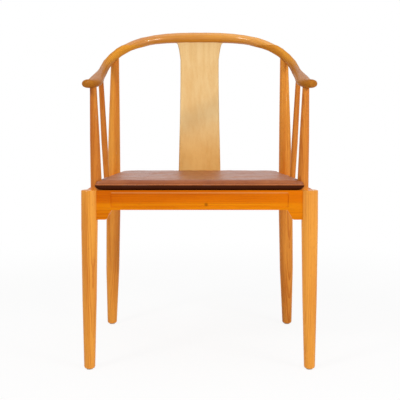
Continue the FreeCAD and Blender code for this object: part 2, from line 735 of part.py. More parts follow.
def rail_form(label, frame, half):
    """A seat rail with a knee bracket at each end and a sunk field."""
    body = doc.addObject("PartDesign::Body", label + "_form")
    toe = "(%s - Sizes.bracket_reach)" % half
    throat = "(%s - Sizes.bracket_slope)" % toe
    field = "(%s - Sizes.recess_end)" % half
    low, under = "Places.rail_low", "Places.bracket_low"
    right = [(half, SEAT), (half, under), (toe, under), (throat, low)]
    left = [("-" + across, up) for across, up in reversed(right)]
    outline = polygon(body, label + "_outline", "XZ_Plane", right + left, "0")
    pad(body, outline, "Sizes.seat_rail_thickness", True)
    toe_x, throat_x = number(toe), number(throat)
    soften(body, label + "_toes", lambda edge: upright_at(edge, toe_x, number(under)),
           "Sizes.bracket_toe_round")
    soften(body, label + "_throats", lambda edge: upright_at(edge, throat_x, number(low)),
           "Sizes.bracket_throat_round")
    soften(body, label + "_edge",
           lambda edge: level(edge, size("seat_height")) and
           abs(edge.BoundBox.YMax) < size("glue_line"),
           "Sizes.edge_round")
    corners = [(field, SEAT + " - Sizes.recess_margin"),
               (field, low + " + Sizes.recess_margin"),
               ("-" + field, low + " + Sizes.recess_margin"),
               ("-" + field, SEAT + " - Sizes.recess_margin")]
    sunk = polygon(body, label + "_field", "XZ_Plane", corners, "0")
    pocket = body.newObject("PartDesign::Pocket", label + "_recess")
    pocket.Profile = sunk
    pocket.setExpression("Length", "Sizes.recess_depth")
    doc.recompute()
    field_x = number(field)
    heights = [number(up) for across, up in corners[:2]]
    soften(body, label + "_corners",
           lambda edge: any(upright_at(edge, field_x, height) for height in heights),
           "Sizes.recess_round")
    return place(body, frame)


def rail_tenons(label, frame, half, outs, upwards):
    """Tenons on both ends of a rail, and the rooms for them, each as a pair."""
    pairs = []
    for end, sign, out in (("near", "-", outs[0]), ("far", "", outs[1])):
        inner, tip = "%s(%s - Sizes.bracket_reach)" % (sign, half), sign + half
        across = (tip, inner) if sign else (inner, tip)
        back = (out + " - Sizes.tenon_thickness / 2", out + " + Sizes.tenon_thickness / 2")
        name = "%s_%s_tenon" % (label, end)
        tenon = stick(name, frame, across, back, upwards)
        room = stick(name + "_room", frame, grown(*across), grown(*back), grown(*upwards))
        pairs.append((tenon, room))
    return pairs


front_tenons = rail_tenons("front", FRONT, "Sizes.front_leg_x",
                           ("Places.front_out", "Places.front_out"), LOWER_TENON)
back_tenons = rail_tenons("back", BACK, "Places.back_leg_x",
                          ("Places.back_out", "Places.back_out"), LOWER_TENON)
side_tenons = rail_tenons("side", SIDE, "Places.side_half",
                          ("Places.front_out", "Places.back_out"), UPPER_TENON)

# Legs


def block_form(label, extra):
    """The square block behind and inside a front leg's top."""
    inner = "Sizes.front_leg_x - Sizes.block_in - " + extra
    outer = "Sizes.front_leg_x - Sizes.block_gap_out + " + extra
    front = "Places.leg_y - Sizes.block_lip - " + extra
    rear = "Places.leg_y + Sizes.block_back + " + extra
    corners = [(inner, front), (outer, front), (outer, rear), (inner, rear)]
    body = plate(label, corners, "Places.bracket_low - " + extra,
                 "Sizes.seat_height - Places.bracket_low + " + extra)
    inner_x = number(inner)
    soften(body, label + "_corners",
           lambda edge: edge.BoundBox.ZLength > size("overrun") and
           abs(edge.BoundBox.XMin - inner_x) < size("glue_line"),
           "Sizes.block_corner_round")
    return body


def glide(label, x, y):
    """A glide under one foot, and the hole for its pin."""
    disc = rod(label + "_disc", x, y, "0", "Sizes.glide_thickness", "Sizes.glide_dia")
    pin = rod(label + "_pin", x, y, "0", "Sizes.glide_thickness + Sizes.glide_pin_length",
              "Sizes.glide_pin_dia")
    hole = rod(label + "_hole", x, y, "-Sizes.overrun",
               "Sizes.glide_thickness + Sizes.glide_pin_length + Sizes.glue_line",
               "Sizes.glide_pin_dia + 2 * Sizes.glue_line")
    return fuse(label, [disc, pin]), hole


glide_front, glide_front_hole = glide("foot_glide_front_left", "Sizes.front_foot_x", "Places.leg_y")
glide_back, glide_back_hole = glide("foot_glide_back_left", "Sizes.back_foot_x",
                                    "Places.back_foot_y")

front_round = feature("front_leg_round", front_leg_form(0))
front_room = fuse("front_leg_room", [feature("front_leg_grown", front_leg_form(size("glue_line"))),
                                     block_form("front_block_room", "Sizes.glue_line")])
post = cut("post_shoulder", feature("post_form", post_form()), bow_room)
front_blank = fuse("front_leg_blank", [front_round, block_form("front_block", "0"), post,
                                       tenons["post"]])
front_leg = cut("front_leg_left", front_blank,
                fuse("front_leg_holes", [front_tenons[1][1], side_tenons[0][1],
                                         glide_front_hole]))

back_room = feature("back_leg_grown", back_leg_form(size("glue_line")))
back_top = cut("back_leg_shoulder", feature("back_leg_form", back_leg_form(0)), bow_room)
back_blank = fuse("back_leg_blank", [back_top, tenons["back"]])
back_leg = cut("back_leg_left", back_blank,
               fuse("back_leg_holes", [back_tenons[0][1], side_tenons[1][1], glide_back_hole]))

spindle_top = cut("spindle_shoulder", feature("spindle_form", spindle_form()), bow_room)
spindle = fuse("side_spindle_left", [spindle_top, tenons["spindle"], spindle_tenon])

# Seat panel in its rebates, and the braces under its corners


def side_line(across, back):
    """A point level with the side rail's line that starts at across, x first."""
    return "%s + Places.side_slope * (%s - Places.leg_y)" % (across, back), back


def four_corners(across, front, back):
    """A plate's corners between front and back, its sides along the side rails."""
    right_front, right_back = side_line(across, front), side_line(across, back)
    return [right_front, right_back, ("-(%s)" % right_back[0], back),
            ("-(%s)" % right_front[0], front)]


def panel_plate(label, extra, height):
    """The seat panel, or the rebates that it lies in."""
    corners = four_corners("Places.panel_x + " + extra, "(Places.panel_front_y - %s)" % extra,
                           "(Places.panel_back_y + %s)" % extra)
    return plate(label, corners, "Places.panel_low", height)


leg_rooms = fuse("leg_rooms", [front_room, back_room, mirror("front_room_right", front_room),
                               mirror("back_room_right", back_room)])
panel_room = panel_plate("panel_room", "Sizes.panel_gap", "Sizes.panel_thickness + Sizes.overrun")
panel = cut("seat_panel", panel_plate("panel_blank", "0", "Sizes.panel_thickness"), leg_rooms)


def brace(label, front_y, backwards):
    """A diagonal brace in the corner between a side rail and another rail."""
    sign = "+" if backwards else "-"
    reach, width = "Sizes.brace_reach", "Sizes.brace_width * sqrt(2)"
    edge = "(%s %s Sizes.glue_line)" % (front_y, sign)
    near = "(%s %s %s)" % (edge, sign, reach)
    far = "(%s %s %s)" % (near, sign, width)
    corner_x = side_line("Places.inner_x", edge)[0] + " - Sizes.glue_line"
    corners = [("%s - %s - %s" % (corner_x, reach, width), edge),
               ("%s - %s" % (corner_x, reach), edge),
               side_line("Places.inner_x - Sizes.glue_line", near),
               side_line("Places.inner_x - Sizes.glue_line", far)]
    return plate(label, corners, "Places.panel_low - Sizes.brace_height", "Sizes.brace_height")


brace_front = brace("corner_brace_front_left", "Places.inner_front_y", True)
brace_back = brace("corner_brace_back_left", "Places.inner_back_y", False)

# Seat rails, scribed to the legs and mitred into each other at the back corners


MITRE_TURN = FreeCAD.Rotation(Vector(0, 0, 1), 45)


def mitre(label, sign):
    """The space on one side of a diagonal through the left back leg."""
    reach = size("seat_rail_thickness") * 2
    half_gap = size("glue_line") / 2
    near_side = -half_gap if sign > 0 else half_gap - reach
    block = Part.makeBox(2 * reach, reach, size("seat_height") * 2,
                         Vector(-reach, near_side, 0))
    corner = Vector(number("Places.back_leg_x"), number("Places.back_leg_y"), 0)
    block.Placement = FreeCAD.Placement(corner, MITRE_TURN)
    return feature(label, block)


mitre_side, mitre_back = mitre("mitre_over_side", 1), mitre("mitre_over_back", -1)


def finish_rail(label, form, tenon_pairs, more_tools):
    """A rail cut to its neighbours, with its tenons."""
    tools = fuse(label + "_tools", [leg_rooms, panel_room] + more_tools)
    shoulder = cut(label + "_shoulders", form, tools)
    return fuse(label, [shoulder] + [tenon for tenon, room in tenon_pairs])


front_rail = finish_rail("front_seat_rail", rail_form("front_rail", FRONT, "Sizes.front_leg_x"),
                         front_tenons, [])
back_rail_blank = finish_rail("back_rail_blank",
                              rail_form("back_rail", BACK, "Places.back_leg_x"), back_tenons,
                              [mitre_back, mirror("mitre_over_back_right", mitre_back)])
back_rail = cut("back_seat_rail", back_rail_blank, splat_room)
side_blank = finish_rail("side_rail_blank", rail_form("side_rail", SIDE, "Places.side_half"),
                         side_tenons, [mitre_side])
side_rail = cut("side_seat_rail_left", side_blank, spindle_mortise)

# Loose cushion. Rows: share of the way from sole to seam, or from seam to crown,
# and the share of that side's inset.

UNDER_SHARES = [(0.0, 1.0), (0.30, 0.33), (1.0, 0.0)]
OVER_SHARES = [(0.45, 0.05), (0.80, 0.22), (0.96, 0.58), (1.0, 1.0)]
CORNER_GROWTH_SHARE = 0.5
CORNER_CHORDS = 5


def rounded(corners, rounds, height):
    """The points of a level outline whose corners are rounded by short chords."""
    points = []
    for index, corner in enumerate(corners):
        before = (corners[index - 1] - corner).normalize()
        after = (corners[(index + 1) % len(corners)] - corner).normalize()
        half_angle = before.getAngle(after) / 2
        radius = rounds[index]
        middle = corner + (before + after).normalize() * (radius / math.sin(half_angle))
        sweep = math.pi - 2 * half_angle
        for chord in range(CORNER_CHORDS + 1):
            turn = sweep * (chord / CORNER_CHORDS - 0.5)
            outwards = FreeCAD.Rotation(Vector(0, 0, 1), math.degrees(turn)).multVec(
                (corner - middle).normalize())
            points.append(middle + outwards * radius + Vector(0, 0, height))
    return points


def cushion_outline(height, inset):
    """The cushion's outline at a height, that far inside its seam."""
    front_y = leg_y - size("cushion_front")
    back_y = number("Places.back_leg_y") - size("cushion_back")
    front_x = size("front_leg_x") - size("cushion_front_in")
    back_x = number("Places.back_leg_x") - size("cushion_back_in")
    slope = (back_x - front_x) / (back_y - front_y)
    sideways = inset * math.sqrt(1 + slope * slope)
    low, high = front_y + inset, back_y - inset
    low_x = front_x + slope * inset - sideways
    high_x = back_x - slope * inset - sideways
    corners = [Vector(-low_x, low, 0), Vector(low_x, low, 0),
               Vector(high_x, high, 0), Vector(-high_x, high, 0)]
    growth = inset * CORNER_GROWTH_SHARE
    front_round = size("cushion_front_corner") + growth
    back_round = size("cushion_back_corner") + growth
    return rounded(corners, [front_round, front_round, back_round, back_round], height)


def flat_sided(outlines):
    """A solid of flat faces through level outlines with matching corners."""
    faces = [Part.Face(Part.makePolygon(outlines[0] + outlines[0][:1])),
             Part.Face(Part.makePolygon(outlines[-1] + outlines[-1][:1]))]
    for lower, upper in zip(outlines, outlines[1:]):
        for index in range(len(lower)):
            corners = [lower[index - 1], lower[index], upper[index], upper[index - 1]]
            faces.append(Part.Face(Part.makePolygon(corners + corners[:1])))
    return Part.makeSolid(Part.makeShell(faces))


def cushion_form(skin):
    """The cushion without its notches, that far inside its leather."""
    seat, seam = size("seat_height"), size("seat_height") + size("cushion_seam_height")
    sole = seat + size("cushion_gap") + skin
    crown = seat + size("cushion_height") - skin
    sections = [cushion_outline(between(sole, seam, up), inset * size("cushion_sole_inset") + skin)
                for up, inset in UNDER_SHARES]
    sections += [cushion_outline(between(seam, crown, up),
                                 inset * size("cushion_crown_inset") + skin)
                 for up, inset in OVER_SHARES]
    return flat_sided(sections)


def notches(label, extra):
    """Room for the two arm posts, kept clear by the cushion."""
    dia = "Sizes.post_foot_dia + 2 * (Sizes.cushion_notch_room + %s)" % extra
    left = rod(label, "Places.post_x", "Places.post_y", "Sizes.seat_height - Sizes.overrun",
               "Sizes.seat_height + Sizes.cushion_height + Sizes.overrun", dia)
    return fuse(label + "_pair", [left, mirror(label + "_right", left)])


skin = size("leather_thickness")
cushion_skin = cut("cushion_outside", feature("cushion_form", cushion_form(0)), notches("notch", "0"))
cushion_hollow = cut("cushion_hollow", feature("cushion_inside", cushion_form(skin)),
                     notches("inner_notch", "Sizes.leather_thickness"))
cushion_cover = cut("cushion_cover", cushion_skin, cushion_hollow)
cushion_core = cut("cushion_core",
                   feature("cushion_filling", cushion_form(skin + size("glue_line"))),
                   notches("core_notch", "Sizes.leather_thickness + Sizes.glue_line"))

# The sitter's right, and the export

pieces = [crest, arm_left, arm_right, splat, front_leg, back_leg, front_rail, back_rail, side_rail,
          spindle, panel, brace_front, brace_back, glide_front, glide_back,
          cushion_cover, cushion_core]
pieces += [mirror(piece.Label.replace("left", "right"), piece)
           for piece in (front_leg, back_leg, side_rail, spindle, brace_front, brace_back,
                         glide_front, glide_back)]
doc.recompute()

for thing in doc.Objects:
    if "Invalid" in thing.State or "Error" in thing.State:
        raise RuntimeError(thing.Label + " could not be worked out")
for piece in pieces:
    if piece.Shape.isNull() or not piece.Shape.isValid() or not piece.Shape.Solids:
        raise RuntimeError(piece.Label + " is not a sound solid")

os.makedirs("parts", exist_ok=True)
for piece in pieces:
    piece.Shape.exportStep("parts/" + piece.Label + ".step")
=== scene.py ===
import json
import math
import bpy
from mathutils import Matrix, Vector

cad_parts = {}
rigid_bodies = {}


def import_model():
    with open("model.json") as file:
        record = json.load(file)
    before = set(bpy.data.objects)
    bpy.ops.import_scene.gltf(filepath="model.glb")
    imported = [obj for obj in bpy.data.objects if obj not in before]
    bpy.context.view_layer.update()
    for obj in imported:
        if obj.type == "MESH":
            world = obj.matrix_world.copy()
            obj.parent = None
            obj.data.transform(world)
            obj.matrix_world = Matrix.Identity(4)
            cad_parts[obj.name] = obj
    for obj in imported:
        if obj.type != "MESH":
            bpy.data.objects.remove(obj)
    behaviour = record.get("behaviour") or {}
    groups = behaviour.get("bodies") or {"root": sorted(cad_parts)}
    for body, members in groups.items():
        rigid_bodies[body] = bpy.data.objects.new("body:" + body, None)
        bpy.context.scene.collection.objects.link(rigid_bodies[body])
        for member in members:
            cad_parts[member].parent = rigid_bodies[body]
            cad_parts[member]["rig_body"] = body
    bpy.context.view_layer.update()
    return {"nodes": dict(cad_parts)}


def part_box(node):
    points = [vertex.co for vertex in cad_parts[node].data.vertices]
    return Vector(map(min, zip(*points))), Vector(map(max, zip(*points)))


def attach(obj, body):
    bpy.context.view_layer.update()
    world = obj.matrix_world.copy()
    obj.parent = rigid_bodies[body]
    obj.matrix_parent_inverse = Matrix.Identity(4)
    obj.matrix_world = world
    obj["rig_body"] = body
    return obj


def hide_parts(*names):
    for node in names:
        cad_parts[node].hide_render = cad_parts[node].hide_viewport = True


bl_info = {
    "name": "Horseshoe back armchair",
    "version": (1, 0, 0),
    "blender": (4, 5, 0),
    "location": "3D View > Sidebar > Chair",
    "description": "Dresses the armchair: oiled cherry, a waxed leather cushion, screws, and a studio",
    "category": "Add Mesh",
}

import bmesh
import bpy
from bpy.props import FloatProperty, FloatVectorProperty, PointerProperty
from mathutils import Vector, noise

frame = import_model()
NODES = frame["nodes"]
SEAT_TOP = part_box("front_seat_rail")[1][2]

SIDES = (("left", 1), ("right", -1))
ENDS = ("front", "back")
MM = 0.001


# Settings that a user of the add-on would change

def colour(name, description, default):
    """A colour setting."""
    return FloatVectorProperty(name=name, description=description, default=default,
                               subtype="COLOR", size=3, min=0, max=1)


def length(name, description, default):
    """A length setting in metres."""
    return FloatProperty(name=name, description=description, default=default,
                         unit="LENGTH", subtype="DISTANCE", min=0)


class WoodSettings(bpy.types.PropertyGroup):
    leg_light: colour("Leg, light", "Early wood of legs and posts", (0.91, 0.385, 0.055))
    leg_dark: colour("Leg, dark", "Late wood of legs and posts", (0.59, 0.165, 0.015))
    rail_light: colour("Rail, light", "Early wood of the seat rails", (0.84, 0.262, 0.003))
    rail_dark: colour("Rail, dark", "Late wood of the seat rails", (0.61, 0.136, 0.001))
    bow_light: colour("Bow, light", "Early wood of arms and crest", (0.76, 0.325, 0.032))
    bow_dark: colour("Bow, dark", "Late wood of arms and crest", (0.50, 0.16, 0.018))
    splat_light: colour("Splat, light", "Early wood of the splat", (0.88, 0.63, 0.30))
    splat_dark: colour("Splat, dark", "Late wood of the splat", (0.79, 0.49, 0.19))
    ring_spacing: length("Ring spacing", "Distance between two growth rings", 0.0034)


class CushionSettings(bpy.types.PropertyGroup):
    leather: colour("Leather", "Waxed leather", (0.30, 0.070, 0.012))
    leather_worn: colour("Worn leather", "Leather where it has been rubbed", (0.40, 0.115, 0.026))
    thread: colour("Thread", "Sewing thread of the seam", (0.16, 0.05, 0.02))
    voxel: length("Mesh size", "Grid of the mesh that is puffed up", 0.0052)
    swell: length("Swell", "How far the filling may push the leather out", 0.0035)
    welt_radius: length("Welt radius", "Radius of the welt round the seam", 0.0013)
    # The sole's colour is painted shade below the seam.
    sole: colour("Sole", "Dark hide below the seam", (0.050, 0.009, 0.001))
    stitch_pitch: length("Stitch pitch", "Distance between two stitches", 0.0042)


class ScrewSettings(bpy.types.PropertyGroup):
    head_radius: length("Head radius", "Radius of a screw head", 0.0040)
    head_height: length("Head height", "Height of a screw head", 0.0012)
    slot_width: length("Slot width", "Width of the slot in a screw head", 0.0009)
    steel: colour("Steel", "Zinc plated screws", (0.56, 0.55, 0.52))


class StageSettings(bpy.types.PropertyGroup):
    floor: colour("Floor", "Pale studio floor", (0.95, 0.95, 0.95))
    camera_distance: length("Camera distance", "Camera in front of the chair's middle", 2.2712)
    camera_height: length("Camera height", "Camera above the floor", 0.62595)
    camera_pitch: FloatProperty(name="Camera pitch", description="How far the camera looks down",
                                default=math.radians(6.308), unit="ROTATION", subtype="ANGLE")
    camera_lens: FloatProperty(name="Focal length", description="Camera's focal length",
                               default=78.948, min=1)


# Node helpers

class Tree:
    """A node tree with short calls for adding and joining nodes."""

    def __init__(self, tree):
        self.tree = tree

    def add(self, kind, settings=None, **sockets):
        """Add a node, set its properties, and set or join its inputs by name."""
        node = self.tree.nodes.new(kind)
        for key, value in (settings or {}).items():
            setattr(node, key, value)
        for key, value in sockets.items():
            self.feed(node.inputs[int(key[1:]) if key[0] == "_" else key.replace("_", " ")], value)
        return node

    def feed(self, socket, value):
        """Join an output to a socket, or set the socket's value."""
        if isinstance(value, bpy.types.NodeSocket):
            self.tree.links.new(value, socket)
        else:
            socket.default_value = value

    def math(self, operation, first, second=0.0):
        """The result of one sum."""
        node = self.add("ShaderNodeMath", {"operation": operation}, _0=first, _1=second)
        return node.outputs[0]

    def between(self, value, low, high, to_low=0.0, to_high=1.0):
        """A value moved smoothly from one range to another."""
        node = self.add("ShaderNodeMapRange", {"interpolation_type": "SMOOTHSTEP"},
                        Value=value, From_Min=low, From_Max=high, To_Min=to_low, To_Max=to_high)
        return node.outputs["Result"]

    def mix(self, share, first, second, blend="MIX"):
        """Two colours mixed."""
        node = self.add("ShaderNodeMix", {"data_type": "RGBA", "blend_type": blend},
                        _0=share, _6=first, _7=second)
        return node.outputs[2]

    def noise(self, vector, scale, detail=3.0, roughness=0.5):
        """Cloudy noise."""
        node = self.add("ShaderNodeTexNoise", None, Vector=vector, Scale=scale, Detail=detail,
                        Roughness=roughness)
        return node.outputs["Fac"]

    def stretched(self, vector, scales, location=(0, 0, 0)):
        """Coordinates scaled along each axis."""
        node = self.add("ShaderNodeMapping", None, Vector=vector, Location=location, Scale=scales)
        return node.outputs[0]


def rgba(values):
    """A colour with its alpha."""
    return tuple(values[:3]) + (1.0,)


def new_material(name):
    """A new material, its node tree, its shader and its object coordinates."""
    material = bpy.data.materials.new(name)
    material.use_nodes = True
    tree = Tree(material.node_tree)
    shader = material.node_tree.nodes["Principled BSDF"]
    coords = tree.add("ShaderNodeTexCoord").outputs["Object"]
    return material, tree, shader, coords


# Wood

# The horseshoe rail's pieces, the turn between two points of its middle line, and the
# passes that smooth that line
BOW = ("arm_rail_right", "crest_rail", "arm_rail_left")
BOW_BIN = math.radians(5)
BOW_SMOOTHINGS = 6

# Points closer than this are joined, and edges sharper than this stay sharp
MERGE_WITHIN = 0.01 * MM
SHARP_DEGREES = 32
GLIDE_SHARP_DEGREES = 40

# Noise in the wood: the share of its scale that it has along the grain, its scale across
# the grain, its detail and its roughness
FIGURE = (0.12, 46.0, 2.0, 0.5)
FIBRE = (0.045, 520.0, 4.0, 0.62)
STREAK = (0.02, 95.0, 3.0, 0.6)
BAND = (0.06, 40.0, 2.0, 0.5)
BROAD = (0.3, 9.0, 2.0, 0.5)
PORE = (0.06, 1500.0, 1.0, 0.5)

# How much each layer darkens the wood
LATE_WEIGHT = 0.24
STREAK_WEIGHT = 0.52
BROAD_WEIGHT = 0.50
BAND_WEIGHT = 0.34
FIBRE_WEIGHT = 0.20

# Slow drift that bends the rings: scale along and across the grain, and reach in metres
DRIFT_ALONG, DRIFT_ACROSS = 1.6, 9
DRIFT_REACH = 0.026

# Clear coat on matt, oiled and polished wood
MATT, OILED, POLISHED = 0.05, 0.16, 0.60

# Where a wood turns to another tone: a colour factor, the height where it starts to
# turn, and the height where it has turned. The posts turn darker and redder above the
# seat, and the splat darker and more orange towards the bottom. On the arms towards
# their ends, and along the top of the front rail under the cushion, the darker tone is
# painted shade.
POST_TURN = ((0.80, 0.68, 0.66), SEAT_TOP, SEAT_TOP + 10 * MM)
ARM_END_PAINTED_SHADE = ((0.60, 0.50, 0.52), 0.755, 0.700)
FRONT_RAIL_PAINTED_SHADE = ((0.90, 0.70, 0.5), SEAT_TOP - 33 * MM, SEAT_TOP - 26 * MM)
SPLAT_TURN = ((0.92, 0.74, 0.50), 0.60, 0.47)

# The front rail's knot, as place and radius
KNOT = ((0.0152, -0.2557, 0.3925), 0.0062)

# A painted highlight: a pale line along the top of the front rail's sunk field, as height
# and half length
FIELD_HIGHLIGHT = (SEAT_TOP - 6 * MM, 0.206)
HIGHLIGHT_COLOUR = (0.86, 0.46, 0.17)
HIGHLIGHT_CORE, HIGHLIGHT_EDGE, HIGHLIGHT_FADE = 0.6 * MM, 1.8 * MM, 4 * MM


def grain_noise(tree, coords, along, layer):
    """A layer of noise, drawn out along the grain."""
    share, scale, detail, roughness = layer
    scales = [share if axis == along else 1 for axis in "XYZ"]
    return tree.noise(tree.stretched(coords, scales), scale, detail, roughness)


def growth_rings(tree, coords, shifted, along, pith):
    """The late wood of rings round the pith line, bent by a slow drift."""
    spacing = bpy.context.scene.chair_wood.ring_spacing
    scales = [DRIFT_ALONG if axis == along else DRIFT_ACROSS for axis in "XYZ"]
    drift = tree.noise(tree.stretched(shifted, scales), 1.0, 2.0)
    bend = tree.add("ShaderNodeCombineXYZ", None, X=drift, Y=drift, Z=drift)
    wobble = tree.add("ShaderNodeVectorMath", {"operation": "SCALE"}, _0=bend.outputs[0],
                      Scale=DRIFT_REACH)
    centred = tree.stretched(coords, (1, 1, 1), [-value for value in pith])
    moved = tree.add("ShaderNodeVectorMath", {"operation": "ADD"}, _0=centred,
                     _1=wobble.outputs[0])
    rings = tree.add("ShaderNodeTexWave",
                     {"wave_type": "RINGS", "rings_direction": along, "wave_profile": "SAW"},
                     Vector=moved.outputs[0], Scale=math.pi / (10 * spacing), Distortion=1.6,
                     Detail=2.0, Detail_Scale=0.35, Detail_Roughness=0.55)
    return tree.between(rings.outputs["Fac"], 0.45, 1.0)


def with_knot(tree, tone, place, knot, dark):
    """A small dark knot."""
    centre, radius = knot
    distance = tree.add("ShaderNodeVectorMath", {"operation": "DISTANCE"}, _0=place, _1=centre)
    eye = tree.between(distance.outputs["Value"], radius, radius * 0.2)
    core = rgba([value * 0.32 for value in dark])
    return tree.mix(tree.math("MULTIPLY", eye, 0.62), tone, core)


def with_tone_and_painted_shade(tree, tone, place, turn):
    """Another tone beyond a height. On the arms and the front rail it is painted shade."""
    factor, start, end = turn
    height = tree.add("ShaderNodeSeparateXYZ", None, Vector=place).outputs["Z"]
    share = tree.between(height, start, end)
    return tree.mix(share, tone, tree.mix(1.0, tone, rgba(factor), "MULTIPLY"))


def with_painted_highlight(tree, tone, place, line):
    """A painted highlight: a pale line along X."""
    level, reach = line
    axes = tree.add("ShaderNodeSeparateXYZ", None, Vector=place).outputs
    off = tree.math("ABSOLUTE", tree.math("SUBTRACT", axes["Z"], level))
    near = tree.between(off, HIGHLIGHT_EDGE, HIGHLIGHT_CORE)
    ends = tree.between(tree.math("ABSOLUTE", axes["X"]), reach, reach - HIGHLIGHT_FADE)
    share = tree.math("MULTIPLY", tree.math("MULTIPLY", near, ends), 0.5)
    return tree.mix(share, tone, rgba(HIGHLIGHT_COLOUR))


def make_wood(name, along, light, dark, pith, seed, knot=None, grain=None, turn=None,
              line=None, polish=OILED):
    """Cherry with its grain along one axis and its pith line at a point.

    grain names a vertex attribute that the pattern follows instead of the object's axes,
    as on a bent rail. knot, turn and line are laid out as the values above; turn is painted
    shade on the arms and the front rail, and line is a painted highlight. polish is the
    amount of clear coat."""
    material, tree, shader, place = new_material(name)
    coords = place
    if grain:
        coords = tree.add("ShaderNodeAttribute", {"attribute_name": grain}).outputs["Vector"]
    shifted = tree.stretched(coords, (1, 1, 1), [seed * 0.7, seed * 0.4, seed * 0.3])
    late = growth_rings(tree, coords, shifted, along, pith)
    figure = grain_noise(tree, shifted, along, FIGURE)
    late = tree.math("MULTIPLY", late, tree.between(figure, 0.36, 0.66, 0.12, 1.0))
    fibre = grain_noise(tree, shifted, along, FIBRE)
    pores = tree.between(grain_noise(tree, shifted, along, PORE), 0.63, 0.75)
    depth = tree.math("MULTIPLY", late, LATE_WEIGHT)
    for layer, weight in ((grain_noise(tree, shifted, along, STREAK), STREAK_WEIGHT),
                          (grain_noise(tree, shifted, along, BROAD), BROAD_WEIGHT),
                          (grain_noise(tree, shifted, along, BAND), BAND_WEIGHT),
                          (fibre, FIBRE_WEIGHT)):
        depth = tree.math("ADD", depth, tree.math("MULTIPLY", layer, weight))
    tone = tree.mix(tree.between(depth, 0.60, 1.12), rgba(light), rgba(dark))
    darker = [value * 0.62 for value in dark]
    tone = tree.mix(tree.math("MULTIPLY", pores, 0.38), tone, rgba(darker))
    if knot:
        tone = with_knot(tree, tone, place, knot, dark)
    # A tone beyond a height; on the arms and the front rail it is painted shade.
    if turn:
        tone = with_tone_and_painted_shade(tree, tone, place, turn)
    # A pale line that is a painted highlight.
    if line:
        tone = with_painted_highlight(tree, tone, place, line)
    tree.feed(shader.inputs["Base Color"], tone)
    worn = tree.math("ADD", fibre, tree.math("MULTIPLY", pores, 0.4))
    tree.feed(shader.inputs["Roughness"], tree.between(worn, 0.3, 1.1, 0.30, 0.52))
    relief = tree.math("SUBTRACT", tree.math("MULTIPLY", fibre, 0.5), pores)
    bump = tree.add("ShaderNodeBump", None, Strength=0.35, Distance=0.12 * MM, Height=relief)
    tree.feed(shader.inputs["Normal"], bump.outputs[0])
    shader.inputs["Coat Weight"].default_value = polish
    shader.inputs["Coat Roughness"].default_value = 0.10
    shader.inputs["Specular IOR Level"].default_value = polish * 0.3
    return material


def shade(mesh, sharp_degrees):
    """Smooth shading, with an edge where faces meet at more than an angle."""
    mesh.shade_smooth()
    mesh.set_sharp_from_angle(angle=math.radians(sharp_degrees))


def smooth_copy(node, sharp_degrees):
    """A CAD node's mesh, joined up and smoothly shaded, as a new piece that replaces it."""
    source = NODES[node]
    mesh = source.data.copy()
    mesh.name = "finished_" + node
    shell = bmesh.new()
    shell.from_mesh(mesh)
    bmesh.ops.remove_doubles(shell, verts=shell.verts, dist=MERGE_WITHIN)
    bmesh.ops.dissolve_degenerate(shell, dist=MERGE_WITHIN, edges=shell.edges)
    shell.to_mesh(mesh)
    shell.free()
    if "custom_normal" in mesh.attributes:
        mesh.attributes.remove(mesh.attributes["custom_normal"])
    shade(mesh, sharp_degrees)
    piece = bpy.data.objects.new("finished_" + node, mesh)
    bpy.context.scene.collection.objects.link(piece)
    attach(piece, source["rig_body"])
    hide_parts(node)
    return piece


def curved(mesh, sharp_degrees):
    """Give each smooth facet of a mesh a bend of its own, so that its outline is a curve."""
    shell = bmesh.new()
    shell.from_mesh(mesh)
    limit = math.radians(sharp_degrees)
    sharp = {vert for edge in shell.edges
             if len(edge.link_faces) != 2 or edge.calc_face_angle() > limit for vert in edge.verts}
    soft = [edge for edge in shell.edges if not sharp.intersection(edge.verts)]
    bmesh.ops.subdivide_edges(shell, edges=soft, cuts=1, smooth=1.0)
    bmesh.ops.triangulate(shell, faces=[face for face in shell.faces if len(face.verts) > 3])
    shell.to_mesh(mesh)
    shell.free()


def dress(names, material, sharp_degrees=SHARP_DEGREES, bend=False):
    """Smooth copies of CAD nodes in one material. Gives the last of them."""
    for name in names:
        piece = smooth_copy(name, sharp_degrees)
        if bend:
            curved(piece.data, sharp_degrees)
            shade(piece.data, sharp_degrees)
        piece.data.materials.clear()
        piece.data.materials.append(material)
    return piece


def bow_line():
    """The middle of the horseshoe rail as points from one arm's end to the other's."""
    bins = {}
    for node in BOW:
        for vert in NODES[node].data.vertices:
            turn = math.atan2(vert.co.x, vert.co.y)
            bins.setdefault(round(turn / BOW_BIN), []).append(vert.co)
    line = [sum(bins[key], Vector()) / len(bins[key]) for key in sorted(bins)]
    for _ in range(BOW_SMOOTHINGS):
        line = [line[0]] + [(line[i - 1] + line[i] * 2 + line[i + 1]) / 4
                            for i in range(1, len(line) - 1)] + [line[-1]]
    return line


def follow_bow(piece, line):
    """Give a mesh the attribute that runs along, across and up from the rail's middle."""
    lengths = [0.0]
    for start, end in zip(line, line[1:]):
        lengths.append(lengths[-1] + (end - start).length)
    values = []
    for vert in piece.data.vertices:
        co = vert.co
        best = None
        for index, (start, end) in enumerate(zip(line, line[1:])):
            step = end - start
            share = (co - start).dot(step) / step.length_squared
            share = max(0.0, min(1.0, share))
            distance = (co - start - step * share).length
            if best is None or distance < best[0]:
                best = (distance, index, share)
        distance, index, share = best
        start, end = line[index], line[index + 1]
        middle = start.lerp(end, share)
        across = (end - start).cross(Vector((0, 0, 1))).normalized()
        offset = co - middle
        values += [lengths[index] + (end - start).length * share, offset.dot(across), offset.z]
    layer = piece.data.attributes.new("grain", "FLOAT_VECTOR", "POINT")
    layer.data.foreach_set("vector", values)


